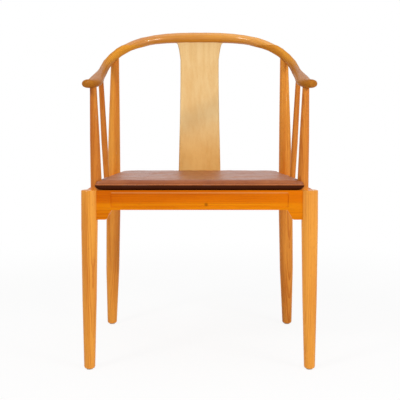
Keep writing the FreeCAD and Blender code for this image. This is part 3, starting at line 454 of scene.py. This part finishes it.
class CHAIR_OT_wood(bpy.types.Operator):
    """Give every wooden piece its grain and finish"""
    bl_idname = "chair.wood"
    bl_label = "Dress the wood"

    def execute(self, context):
        wood = context.scene.chair_wood
        line = bow_line()
        for side, sign in SIDES:
            leg = make_wood("leg_wood_" + side, "Z", wood.leg_light, wood.leg_dark,
                            pith=(sign * 0.19, -0.31, 0), seed=1.3 + sign, turn=POST_TURN)
            back = make_wood("back_leg_wood_" + side, "Z", wood.leg_light, wood.leg_dark,
                             pith=(sign * 0.30, 0.10, 0), seed=4.1 + sign)
            # The arms' turn is painted shade towards their ends.
            arm = make_wood("arm_wood_" + side, "X", wood.bow_light, wood.bow_dark,
                            pith=(0, 0.05, -0.06), seed=7.7 + sign, grain="grain",
                            turn=ARM_END_PAINTED_SHADE, polish=MATT)
            side_rail = make_wood("side_rail_wood_" + side, "Y", wood.rail_light,
                                  wood.rail_dark, pith=(sign * 0.16, 0, 0.33),
                                  seed=9.2 + sign, polish=MATT)
            dress(["front_leg_" + side, "side_spindle_" + side], leg)
            dress(["back_leg_" + side], back)
            follow_bow(dress(["arm_rail_" + side], arm, bend=True), line)
            dress(["side_seat_rail_" + side], side_rail)
            dress(["corner_brace_%s_%s" % (end, side) for end in ENDS], side_rail)
        crest = make_wood("crest_wood", "X", wood.bow_light, wood.bow_dark,
                          pith=(0, -0.04, -0.10), seed=2.9, grain="grain", polish=POLISHED)
        # The front rail's turn is painted shade along its top, under the cushion.
        front = make_wood("front_rail_wood", "X", wood.rail_light, wood.rail_dark,
                          pith=(0, -0.14, 0.33), seed=5.4, knot=KNOT, turn=FRONT_RAIL_PAINTED_SHADE,
                          line=FIELD_HIGHLIGHT, polish=MATT)
        back = make_wood("back_rail_wood", "X", wood.rail_light, wood.rail_dark,
                         pith=(0, 0.30, 0.34), seed=6.6)
        splat = make_wood("splat_wood", "Z", wood.splat_light, wood.splat_dark,
                          pith=(0.62, 0.10, 0), seed=3.7, turn=SPLAT_TURN)
        panel = make_wood("panel_wood", "X", wood.splat_light, wood.rail_light,
                          pith=(0, 0.1, 0.20), seed=8.8)
        follow_bow(dress(["crest_rail"], crest, bend=True), line)
        dress(["front_seat_rail"], front)
        dress(["back_seat_rail"], back)
        dress(["back_splat"], splat)
        dress(["seat_panel"], panel)
        return {"FINISHED"}


def make_nylon():
    """Moulded nylon with a faint mottle."""
    material, tree, shader, coords = new_material("glide_nylon")
    cloud = tree.noise(coords, 260.0, 3.0)
    tone = tree.mix(cloud, rgba((0.50, 0.45, 0.37)), rgba((0.62, 0.57, 0.48)))
    tree.feed(shader.inputs["Base Color"], tone)
    tree.feed(shader.inputs["Roughness"], tree.between(cloud, 0.2, 0.8, 0.42, 0.6))
    return material


class CHAIR_OT_glides(bpy.types.Operator):
    """Give the glides their moulded nylon"""
    bl_idname = "chair.glides"
    bl_label = "Dress the glides"

    def execute(self, context):
        names = ["foot_glide_%s_%s" % (end, side) for end in ENDS for side, _ in SIDES]
        dress(names, make_nylon(), GLIDE_SHARP_DEGREES)
        return {"FINISHED"}


# Cushion

# Scales of the leather's pebbles, clouds, mottle and creases, and how deep its relief is
PEBBLE_SCALE, CLOUD_SCALE, MOTTLE_SCALE, CREASE_SCALE = 620.0, 11.0, 70.0, 38.0
PEBBLE_DEPTH, CREASE_DEPTH = 0.22 * MM, 1.1 * MM

# Depth over which the leather turns to the sole's painted shade below the seam
SOLE_FADE = 3 * MM


def leather_material(name, base, worn, rubbed, sole=None, gleam=0.38):
    """Waxed leather with a pebbled grain, painted shade in the pebbles' creases, cloudy tone and
    rubbed places.

    rubbed is added to the least roughness, sole is the colour of painted shade and the
    height below which the leather has it, and gleam is the strength of its highlight."""
    material, tree, shader, coords = new_material(name)
    cells = tree.add("ShaderNodeTexVoronoi", {"feature": "DISTANCE_TO_EDGE"},
                     Vector=coords, Scale=PEBBLE_SCALE).outputs["Distance"]
    pebble = tree.between(cells, 0.0, 0.22)
    cloud = tree.noise(coords, CLOUD_SCALE, 4.0, 0.55)
    mottle = tree.noise(coords, MOTTLE_SCALE, 3.0, 0.6)
    crease = tree.noise(tree.stretched(coords, (1, 2.6, 1)), CREASE_SCALE, 5.0, 0.62)
    tone = tree.mix(tree.between(cloud, 0.32, 0.74), rgba(base), rgba(worn))
    dark = [value * 0.66 for value in base]
    tone = tree.mix(tree.between(mottle, 0.46, 0.80, 0.0, 0.42), tone, rgba(dark))
    # The pebbles' creases are darker: painted shade.
    tone = tree.mix(tree.between(pebble, 1.0, 0.0, 0.0, 0.30), tone, rgba(dark))
    # Below the seam the leather takes the sole's colour: painted shade.
    if sole:
        painted_sole_shade, top = sole
        height = tree.add("ShaderNodeSeparateXYZ", None, Vector=coords).outputs["Z"]
        tone = tree.mix(tree.between(height, top, top - SOLE_FADE), tone, rgba(painted_sole_shade))
    tree.feed(shader.inputs["Base Color"], tone)
    gloss = tree.math("ADD", tree.math("MULTIPLY", mottle, 0.5), tree.math("MULTIPLY", cloud, 0.5))
    tree.feed(shader.inputs["Roughness"], tree.between(gloss, 0.3, 0.75, 0.27 + rubbed, 0.46))
    fine = tree.add("ShaderNodeBump", None, Strength=0.45, Distance=PEBBLE_DEPTH, Height=pebble)
    soft = tree.add("ShaderNodeBump", None, Strength=0.5, Distance=CREASE_DEPTH, Height=crease,
                    Normal=fine.outputs[0])
    tree.feed(shader.inputs["Normal"], soft.outputs[0])
    shader.inputs["Specular IOR Level"].default_value = gleam
    return material


def thread_material(tint):
    """Twisted, waxed sewing thread."""
    material, tree, shader, coords = new_material("seam_thread")
    twist = tree.noise(coords, 2600.0, 2.0)
    tone = tree.mix(twist, rgba(tint), rgba([value * 1.7 for value in tint]))
    tree.feed(shader.inputs["Base Color"], tone)
    tree.feed(shader.inputs["Roughness"], tree.between(twist, 0.2, 0.8, 0.5, 0.75))
    return material


def outer_shell(node):
    """The outermost closed surface of a CAD node, as a new mesh."""
    shell = bmesh.new()
    shell.from_mesh(NODES[node].data)
    bmesh.ops.remove_doubles(shell, verts=shell.verts, dist=MERGE_WITHIN)
    left = set(shell.verts)
    best, best_width = None, 0
    while left:
        group, queue = set(), [left.pop()]
        while queue:
            vert = queue.pop()
            group.add(vert)
            for edge in vert.link_edges:
                other = edge.other_vert(vert)
                if other in left:
                    left.discard(other)
                    queue.append(other)
        width = max(vert.co.x for vert in group) - min(vert.co.x for vert in group)
        if width > best_width:
            best, best_width = group, width
    inner = [vert for vert in shell.verts if vert not in best]
    bmesh.ops.delete(shell, geom=inner, context="VERTS")
    mesh = bpy.data.meshes.new("cushion_leather")
    shell.to_mesh(mesh)
    shell.free()
    return mesh


def settle(piece):
    """Replace a piece's mesh by what its modifiers make of it."""
    depsgraph = bpy.context.evaluated_depsgraph_get()
    mesh = bpy.data.meshes.new_from_object(piece.evaluated_get(depsgraph))
    piece.modifiers.clear()
    old, piece.data = piece.data, mesh
    bpy.data.meshes.remove(old)
    mesh.name = piece.name


def smoothed(mesh, share, times):
    """Even out a mesh a little."""
    shell = bmesh.new()
    shell.from_mesh(mesh)
    for _ in range(times):
        bmesh.ops.smooth_vert(shell, verts=shell.verts, factor=share,
                              use_axis_x=True, use_axis_y=True, use_axis_z=True)
    shell.to_mesh(mesh)
    shell.free()


# Cloth: frames that the puffing runs, pressure inside, and how stiff the leather is
PUFF_FRAMES = 20
PRESSURE = 4.0
STIFFNESS = 18
BENDING_STIFFNESS = 1.5

# Hollows that a sitter leaves: place, radius and depth
DIMPLES = [((0.122, -0.010), 0.055, 0.0026), ((-0.122, -0.010), 0.055, 0.0026),
           ((0.020, -0.090), 0.130, 0.0020)]

# How full the edge beside the seam is, and the share of the height past which it is flat
FULLNESS = 3.0
PLAY = 1.30

# The crown's height at the front and at the back, as shares of the CAD cushion's
CROWN_FRONT, CROWN_BACK = 1.75, 0.55

# Waves of the leather: their height, the rise over which they set in, and two layers of
# noise as weight, scale across the seat, scale from front to back, and place in the noise
WAVE_HEIGHT = 1.1 * MM
WAVE_FADE = 6 * MM
WAVES = ((1.0, 16, 22, 3.1), (0.5, 41, 35, 7.7))


def puff(piece, cushion):
    """Let the filling push the leather out, by no more than the swell."""
    before = [vert.co.copy() for vert in piece.data.vertices]
    cloth = piece.modifiers.new("Puff", "CLOTH")
    cloth.settings.use_pressure = True
    cloth.settings.uniform_pressure_force = PRESSURE
    cloth.settings.effector_weights.gravity = 0
    cloth.settings.tension_stiffness = STIFFNESS
    cloth.settings.compression_stiffness = STIFFNESS
    cloth.settings.bending_stiffness = BENDING_STIFFNESS
    cloth.point_cache.frame_start, cloth.point_cache.frame_end = 1, PUFF_FRAMES
    scene = bpy.context.scene
    for number in range(1, PUFF_FRAMES + 1):
        scene.frame_set(number)
    settle(piece)
    scene.frame_set(1)
    for vert, start in zip(piece.data.vertices, before):
        move = vert.co - start
        if move.length > cushion.swell:
            vert.co = start + move * (cushion.swell / move.length)


def plumped(height, span):
    """A height above or below the seam, moved so that the edge beside the seam is full."""
    share = min(1.0, height / (span * PLAY))
    return span * (1 - (1 - share) ** FULLNESS)


def wear_in(piece, low, high, seam):
    """Full edges, a crown, soft hollows and waves, and a flat sole."""
    middle = SEAT_TOP + (high[2] - SEAT_TOP) * 0.5
    floor = low[2]
    for vert in piece.data.vertices:
        co = vert.co
        if co.z > seam:
            back = (co.y - low[1]) / (high[1] - low[1])
            crown = CROWN_FRONT + (CROWN_BACK - CROWN_FRONT) * back
            co.z = seam + plumped(co.z - seam, high[2] - seam) * crown
        else:
            co.z = seam - plumped(seam - co.z, seam - floor)
        if co.z > middle:
            for (x, y), radius, depth in DIMPLES:
                reach = math.hypot(co.x - x, co.y - y) / radius
                if reach < 1:
                    co.z -= depth * (1 - reach * reach) ** 2
            wave = sum(weight * noise.noise(Vector((co.x * across, co.y * deep, seed)))
                       for weight, across, deep, seed in WAVES)
            share = min(1.0, (co.z - middle) / WAVE_FADE)
            co.z += WAVE_HEIGHT * wave * share
        co.z = max(co.z, floor)


def slice_loop(mesh, height):
    """The ordered points of a mesh's cut at a level."""
    shell = bmesh.new()
    shell.from_mesh(mesh)
    cut = bmesh.ops.bisect_plane(shell, geom=shell.verts[:] + shell.edges[:] + shell.faces[:],
                                 plane_co=(0, 0, height), plane_no=(0, 0, 1))["geom_cut"]
    edges = {item for item in cut if isinstance(item, bmesh.types.BMEdge)}
    neighbours = {}
    for edge in edges:
        a, b = edge.verts
        neighbours.setdefault(a, []).append(b)
        neighbours.setdefault(b, []).append(a)
    start = min(neighbours, key=lambda vert: (round(vert.co.y, 6), round(vert.co.x, 6)))
    loop, previous, current = [start.co.copy()], None, start
    while True:
        following = [vert for vert in neighbours[current] if vert is not previous]
        previous, current = current, following[0]
        if current is start:
            break
        loop.append(current.co.copy())
    shell.free()
    return loop


def evened(points, times):
    """A closed line of points, smoothed."""
    for _ in range(times):
        points = [(points[i - 1] + point * 2 + points[(i + 1) % len(points)]) / 4
                  for i, point in enumerate(points)]
    return points


def line_object(name, points):
    """A closed line of edges."""
    mesh = bpy.data.meshes.new(name)
    count = len(points)
    mesh.from_pydata(points, [(i, (i + 1) % count) for i in range(count)], [])
    piece = bpy.data.objects.new(name, mesh)
    bpy.context.scene.collection.objects.link(piece)
    return piece


# Geometry Nodes

def node_group(name, labels):
    """A new geometry tree with named lengths. Gives the tree, its inputs and its output node."""
    group = bpy.data.node_groups.new(name, "GeometryNodeTree")
    group.interface.new_socket("Geometry", in_out="INPUT", socket_type="NodeSocketGeometry")
    group.interface.new_socket("Geometry", in_out="OUTPUT", socket_type="NodeSocketGeometry")
    for label in labels:
        socket = group.interface.new_socket(label, in_out="INPUT", socket_type="NodeSocketFloat")
        socket.subtype = "DISTANCE"
    tree = Tree(group)
    return tree, tree.add("NodeGroupInput").outputs, tree.add("NodeGroupOutput")


def grow(piece, tree, values):
    """Run a geometry tree on a piece and keep the plain mesh that it makes."""
    modifier = piece.modifiers.new(tree.tree.name, "NODES")
    modifier.node_group = tree.tree
    for item in tree.tree.interface.items_tree:
        if item.in_out == "INPUT" and item.name in values:
            modifier[item.identifier] = values[item.name]
    settle(piece)


WELT_STEP = 3 * MM
WELT_SIDES = 12
THREAD_RADIUS = 0.4 * MM
STITCH_LENGTH = 2.7 * MM

# The block that cuts a screw's slot is longer than the head is wide. Its middle lies below
# the head's by this share of the head's height
SCREW_SIDES = 28
SLOT_LENGTH = 20 * MM
SLOT_DROP = 0.6

# Largest turn of a screw head, in radians
LARGEST_TURN = 3.1


def finished(tree, geometry, material, result):
    """End a tree: make its copies real, and give them a material."""
    real = tree.add("GeometryNodeRealizeInstances", None, Geometry=geometry)
    dressed = tree.add("GeometryNodeSetMaterial", None, Geometry=real.outputs[0],
                       Material=material)
    tree.feed(result.inputs[0], dressed.outputs[0])
    return tree


def even_line(tree, given, step):
    """The given line of edges as a curve with evenly spaced points."""
    line = tree.add("GeometryNodeMeshToCurve", None, Mesh=given["Geometry"])
    even = tree.add("GeometryNodeResampleCurve", {"mode": "LENGTH"}, Curve=line.outputs[0])
    tree.feed(even.inputs["Length"], given[step])
    return even.outputs[0]


def welt_tree(material):
    """A round welt along a closed line."""
    tree, given, result = node_group("welt", ["Radius", "Step"])
    ring = tree.add("GeometryNodeCurvePrimitiveCircle", None, Resolution=WELT_SIDES)
    tree.feed(ring.inputs["Radius"], given["Radius"])
    tube = tree.add("GeometryNodeCurveToMesh", None, Curve=even_line(tree, given, "Step"),
                    Profile_Curve=ring.outputs[0])
    return finished(tree, tube.outputs[0], material, result)


def stitch_tree(material):
    """Short stitches along a closed line."""
    tree, given, result = node_group("stitches", ["Pitch", "Thread radius", "Stitch length"])
    bead = tree.add("GeometryNodeMeshUVSphere", None, Segments=8, Rings=6)
    bead.inputs["Radius"].default_value = 1.0
    scale = tree.add("ShaderNodeCombineXYZ")
    tree.feed(scale.inputs["X"], given["Thread radius"])
    tree.feed(scale.inputs["Y"], given["Thread radius"])
    tree.feed(scale.inputs["Z"], tree.math("MULTIPLY", given["Stitch length"], 0.5))
    tangent = tree.add("GeometryNodeInputTangent")
    turn = tree.add("FunctionNodeAlignRotationToVector", {"axis": "Z"}, Vector=tangent.outputs[0])
    placed = tree.add("GeometryNodeInstanceOnPoints", None,
                      Points=even_line(tree, given, "Pitch"), Instance=bead.outputs[0],
                      Rotation=turn.outputs[0], Scale=scale.outputs[0])
    return finished(tree, placed.outputs[0], material, result)


def screw_tree(material):
    """Slotted screw heads at the points of a mesh, facing down, each turned its own way."""
    tree, given, result = node_group("screws", ["Head radius", "Head height", "Slot width"])
    disc = tree.add("GeometryNodeMeshCylinder", None, Vertices=SCREW_SIDES, Side_Segments=1,
                    Fill_Segments=1)
    tree.feed(disc.inputs["Radius"], given["Head radius"])
    tree.feed(disc.inputs["Depth"], given["Head height"])
    size = tree.add("ShaderNodeCombineXYZ", None, X=SLOT_LENGTH)
    tree.feed(size.inputs["Y"], given["Slot width"])
    tree.feed(size.inputs["Z"], given["Head height"])
    slot = tree.add("GeometryNodeMeshCube", None, Size=size.outputs[0])
    down = tree.add("ShaderNodeCombineXYZ")
    tree.feed(down.inputs["Z"], tree.math("MULTIPLY", given["Head height"], -SLOT_DROP))
    moved = tree.add("GeometryNodeTransform", None, Geometry=slot.outputs[0],
                     Translation=down.outputs[0])
    head = tree.add("GeometryNodeMeshBoolean", {"operation": "DIFFERENCE"})
    tree.feed(head.inputs["Mesh 1"], disc.outputs["Mesh"])
    tree.feed(head.inputs["Mesh 2"], moved.outputs[0])
    angle = tree.add("FunctionNodeRandomValue", {"data_type": "FLOAT"}, Seed=4)
    angle.inputs[3].default_value = LARGEST_TURN
    turn = tree.add("ShaderNodeCombineXYZ", None, Z=angle.outputs[1])
    placed = tree.add("GeometryNodeInstanceOnPoints", None, Points=given["Geometry"],
                      Instance=head.outputs["Mesh"], Rotation=turn.outputs[0])
    return finished(tree, placed.outputs[0], material, result)


# Points this close to the cushion's front are on the seam
SEAM_WITHIN = 0.1 * MM

# Smoothing of the even mesh before it is puffed up: share and passes
EVEN_SHARE, EVEN_PASSES = 0.5, 2

# The sole's faces start this far below the seam. It is duller and gleams less
SOLE_BELOW = 1 * MM
SOLE_ROUGHER, SOLE_GLEAM = 0.12, 0.06

# The welt is lighter, a painted highlight, and smoother
WELT_HIGHLIGHT, WELT_ROUGHER = 1.35, -0.04

# Passes that smooth the lines of welt and stitches, and how far the stitches lie above
# the seam, in radii of the welt
SEAM_SMOOTHINGS = 4
STITCH_RISE = 2.6


def seam_height(low):
    """The height of the seam, where the cushion reaches furthest forwards."""
    front = [vert.co.z for vert in NODES["cushion_cover"].data.vertices
             if vert.co.y < low[1] + SEAM_WITHIN]
    return sum(front) / len(front)


def make_cushion(cushion, low, high, seam):
    """The leather cushion: an even mesh of its CAD shape, puffed up and worn in."""
    piece = bpy.data.objects.new("cushion_leather", outer_shell("cushion_cover"))
    bpy.context.scene.collection.objects.link(piece)
    bpy.context.view_layer.objects.active = piece
    remesh = piece.modifiers.new("Even mesh", "REMESH")
    remesh.mode = "VOXEL"
    remesh.voxel_size = cushion.voxel
    settle(piece)
    smoothed(piece.data, EVEN_SHARE, EVEN_PASSES)
    puff(piece, cushion)
    wear_in(piece, low, high, seam)
    finish = piece.modifiers.new("Finish", "SUBSURF")
    finish.levels = finish.render_levels = 1
    settle(piece)
    piece.data.shade_smooth()
    return piece


def dress_cushion(piece, cushion, seam):
    """Waxed leather above the seam, and duller leather with painted shade below it."""
    tones = (cushion.leather, cushion.leather_worn)
    sole = (cushion.sole, seam)
    piece.data.materials.clear()
    piece.data.materials.append(leather_material("cushion_leather", *tones, 0.0, sole))
    piece.data.materials.append(leather_material("cushion_sole", *tones, SOLE_ROUGHER, sole,
                                                 SOLE_GLEAM))
    for face in piece.data.polygons:
        face.material_index = int(face.center.z < seam - SOLE_BELOW)


class CHAIR_OT_cushion(bpy.types.Operator):
    """Make the puffed leather cushion with its welt and stitches"""
    bl_idname = "chair.cushion"
    bl_label = "Make the cushion"

    def execute(self, context):
        cushion = context.scene.chair_cushion
        low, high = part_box("cushion_cover")
        seam = seam_height(low)
        piece = make_cushion(cushion, low, high, seam)
        dress_cushion(piece, cushion, seam)
        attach(piece, "cushion")
        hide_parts("cushion_cover", "cushion_core")

        around = evened(slice_loop(piece.data, seam), SEAM_SMOOTHINGS)
        welt = line_object("cushion_welt", around)
        # The welt's lighter tones are a painted highlight.
        welt_highlight_tone = [value * WELT_HIGHLIGHT for value in cushion.leather_worn]
        leather = leather_material("welt_leather", cushion.leather_worn, welt_highlight_tone, WELT_ROUGHER)
        grow(welt, welt_tree(leather), {"Radius": cushion.welt_radius, "Step": WELT_STEP})
        welt.data.shade_smooth()
        above = seam + STITCH_RISE * cushion.welt_radius
        around = evened(slice_loop(piece.data, above), SEAM_SMOOTHINGS)
        stitches = line_object("cushion_stitches", around)
        grow(stitches, stitch_tree(thread_material(cushion.thread)),
             {"Pitch": cushion.stitch_pitch, "Thread radius": THREAD_RADIUS,
              "Stitch length": STITCH_LENGTH})
        for part in (welt, stitches):
            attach(part, "cushion")
        return {"FINISHED"}


def steel_material(tint):
    """Zinc plated steel with fine turning marks."""
    material, tree, shader, coords = new_material("screw_steel")
    mark = tree.noise(coords, 1800.0, 3.0)
    tone = tree.mix(mark, rgba(tint), rgba([value * 0.8 for value in tint]))
    tree.feed(shader.inputs["Base Color"], tone)
    tree.feed(shader.inputs["Roughness"], tree.between(mark, 0.2, 0.8, 0.28, 0.45))
    shader.inputs["Metallic"].default_value = 1.0
    return material


# Each brace has a screw this far on either side of its middle. The middle of a head lies
# below the brace by this share of the head's height
SCREW_FROM_MIDDLE = 18 * MM
SCREW_DROP = 0.3


class CHAIR_OT_screws(bpy.types.Operator):
    """Make the screws under the corner braces"""
    bl_idname = "chair.screws"
    bl_label = "Make the screws"

    def execute(self, context):
        screws = context.scene.chair_screws
        height = Vector((0, 0, screws.head_height * SCREW_DROP))
        points = []
        for end, forwards in zip(ENDS, (-1, 1)):
            for side, outwards in SIDES:
                low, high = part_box("corner_brace_%s_%s" % (end, side))
                centre = Vector(((low[0] + high[0]) / 2, (low[1] + high[1]) / 2, low[2]))
                along = Vector((outwards, -forwards, 0)).normalized() * SCREW_FROM_MIDDLE
                points += [centre + along - height, centre - along - height]
        mesh = bpy.data.meshes.new("brace_screws")
        mesh.from_pydata(points, [], [])
        piece = bpy.data.objects.new("brace_screws", mesh)
        context.scene.collection.objects.link(piece)
        grow(piece, screw_tree(steel_material(screws.steel)),
             {"Head radius": screws.head_radius, "Head height": screws.head_height,
              "Slot width": screws.slot_width})
        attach(piece, "frame")
        return {"FINISHED"}


# Stage

# Lamps: name, two sides in metres, power in watts, place, and the point aimed at
LAMPS = [("overhead", 1.6, 1.6, 12.0, (0.0, -0.2, 2.6), (0, 0, 0.4)),
         ("left", 0.6, 0.6, 30.0, (-1.7, -2.0, 2.4), (0, 0, 0.5)),
         ("right", 0.9, 0.12, 27.0, (1.85, -1.85, 1.32), (0, 0, 0.6))]

SKY_STRENGTH = 0.40
FLOOR_REACH = 14.0

# Round the chair the floor shows its shadow by this share, up to the first distance, and
# from the second one it is plain white
SHADOW_SHARE = 0.10
SHADOW_NEAR, SHADOW_FAR = 0.6, 1.8

SENSOR_WIDTH = 36.0
CAMERA_SHIFT = 0.00104
CLIP_END = 60.0


def area_light(name, size_x, size_y, energy, location, target):
    """A soft rectangular light aimed at a point."""
    light = bpy.data.lights.new(name, "AREA")
    light.shape = "RECTANGLE"
    light.size, light.size_y = size_x, size_y
    light.energy = energy
    lamp = bpy.data.objects.new(name, light)
    lamp.location = location
    lamp.rotation_euler = (Vector(target) - Vector(location)).to_track_quat("-Z", "Y").to_euler()
    bpy.context.scene.collection.objects.link(lamp)


def white_for_camera(tree, plain):
    """The share of rays that see plain white: straight from the camera, or in gloss and glass."""
    path = tree.add("ShaderNodeLightPath").outputs
    seen = tree.math("MAXIMUM", path["Is Camera Ray"], path["Is Glossy Ray"])
    return tree.math("MULTIPLY", tree.math("MAXIMUM", seen, path["Is Transmission Ray"]), plain)


def make_floor(tint):
    """A wide pale floor that keeps the chair's shadow."""
    mesh = bpy.data.meshes.new("studio_floor")
    reach = FLOOR_REACH
    mesh.from_pydata([(-reach, -reach, 0), (reach, -reach, 0), (reach, reach, 0),
                      (-reach, reach, 0)], [], [(0, 1, 2, 3)])
    floor = bpy.data.objects.new("studio_floor", mesh)
    bpy.context.scene.collection.objects.link(floor)
    material = bpy.data.materials.new("studio_floor")
    material.use_nodes = True
    tree = Tree(material.node_tree)
    material.node_tree.nodes.remove(material.node_tree.nodes["Principled BSDF"])
    diffuse = tree.add("ShaderNodeBsdfDiffuse", None, Color=rgba(tint))
    place = tree.add("ShaderNodeTexCoord").outputs["Object"]
    distance = tree.add("ShaderNodeVectorMath", {"operation": "LENGTH"}, _0=place)
    clear = tree.between(distance.outputs["Value"], SHADOW_NEAR, SHADOW_FAR,
                         1.0 - SHADOW_SHARE, 1.0)
    glow = tree.add("ShaderNodeEmission", None, Color=(1, 1, 1, 1), Strength=1.0)
    both = tree.add("ShaderNodeMixShader", None, _0=white_for_camera(tree, clear),
                    _1=diffuse.outputs[0], _2=glow.outputs[0])
    tree.feed(material.node_tree.nodes["Material Output"].inputs["Surface"], both.outputs[0])
    mesh.materials.append(material)


def make_world():
    """An even pale world that looks white to the camera and in reflections."""
    world = bpy.data.worlds.new("studio")
    world.use_nodes = True
    bpy.context.scene.world = world
    sky = Tree(world.node_tree)
    background = world.node_tree.nodes["Background"]
    background.inputs["Color"].default_value = (1, 1, 1, 1)
    strength = sky.add("ShaderNodeMapRange", None, Value=white_for_camera(sky, 1.0),
                       To_Min=SKY_STRENGTH, To_Max=1.0)
    sky.feed(background.inputs["Strength"], strength.outputs[0])


def make_camera(stage):
    """The camera in front of the chair, looking slightly down."""
    camera = bpy.data.cameras.new("camera")
    camera.sensor_width = SENSOR_WIDTH
    camera.lens = stage.camera_lens
    camera.shift_x = CAMERA_SHIFT
    camera.clip_end = CLIP_END
    view = bpy.data.objects.new("camera", camera)
    view.location = (0, -stage.camera_distance, stage.camera_height)
    view.rotation_euler = (math.pi / 2 - stage.camera_pitch, 0, 0)
    bpy.context.scene.collection.objects.link(view)
    bpy.context.scene.camera = view


class CHAIR_OT_stage(bpy.types.Operator):
    """Set the pale floor, the soft lights and the camera"""
    bl_idname = "chair.stage"
    bl_label = "Set the stage"

    def execute(self, context):
        stage = context.scene.chair_stage
        make_floor(stage.floor)
        make_world()
        for lamp in LAMPS:
            area_light(*lamp)
        make_camera(stage)
        context.scene.view_settings.view_transform = "Standard"
        return {"FINISHED"}


class CHAIR_PT_panel(bpy.types.Panel):
    """Settings and steps of the armchair"""
    bl_idname = "CHAIR_PT_panel"
    bl_label = "Armchair"
    bl_space_type = "VIEW_3D"
    bl_region_type = "UI"
    bl_category = "Chair"

    def draw(self, context):
        for settings, group in GROUPS.items():
            box = self.layout.box()
            for name in group.__annotations__:
                box.prop(getattr(context.scene, settings), name)
        for operator in OPERATORS:
            self.layout.operator(operator.bl_idname)


OPERATORS = (CHAIR_OT_wood, CHAIR_OT_glides, CHAIR_OT_cushion, CHAIR_OT_screws, CHAIR_OT_stage)
GROUPS = {"chair_wood": WoodSettings, "chair_cushion": CushionSettings,
          "chair_screws": ScrewSettings, "chair_stage": StageSettings}
CLASSES = tuple(GROUPS.values()) + OPERATORS + (CHAIR_PT_panel,)


def register():
    """Register the classes and hang the settings on the scene."""
    for cls in CLASSES:
        bpy.utils.register_class(cls)
    for name, group in GROUPS.items():
        setattr(bpy.types.Scene, name, PointerProperty(type=group))


def unregister():
    """Undo what register did."""
    for name in GROUPS:
        delattr(bpy.types.Scene, name)
    for cls in reversed(CLASSES):
        bpy.utils.unregister_class(cls)


def main():
    """Build everything."""
    register()
    bpy.ops.chair.wood()
    bpy.ops.chair.glides()
    bpy.ops.chair.cushion()
    bpy.ops.chair.screws()
    bpy.ops.chair.stage()


if __name__ == "__main__":
    main()
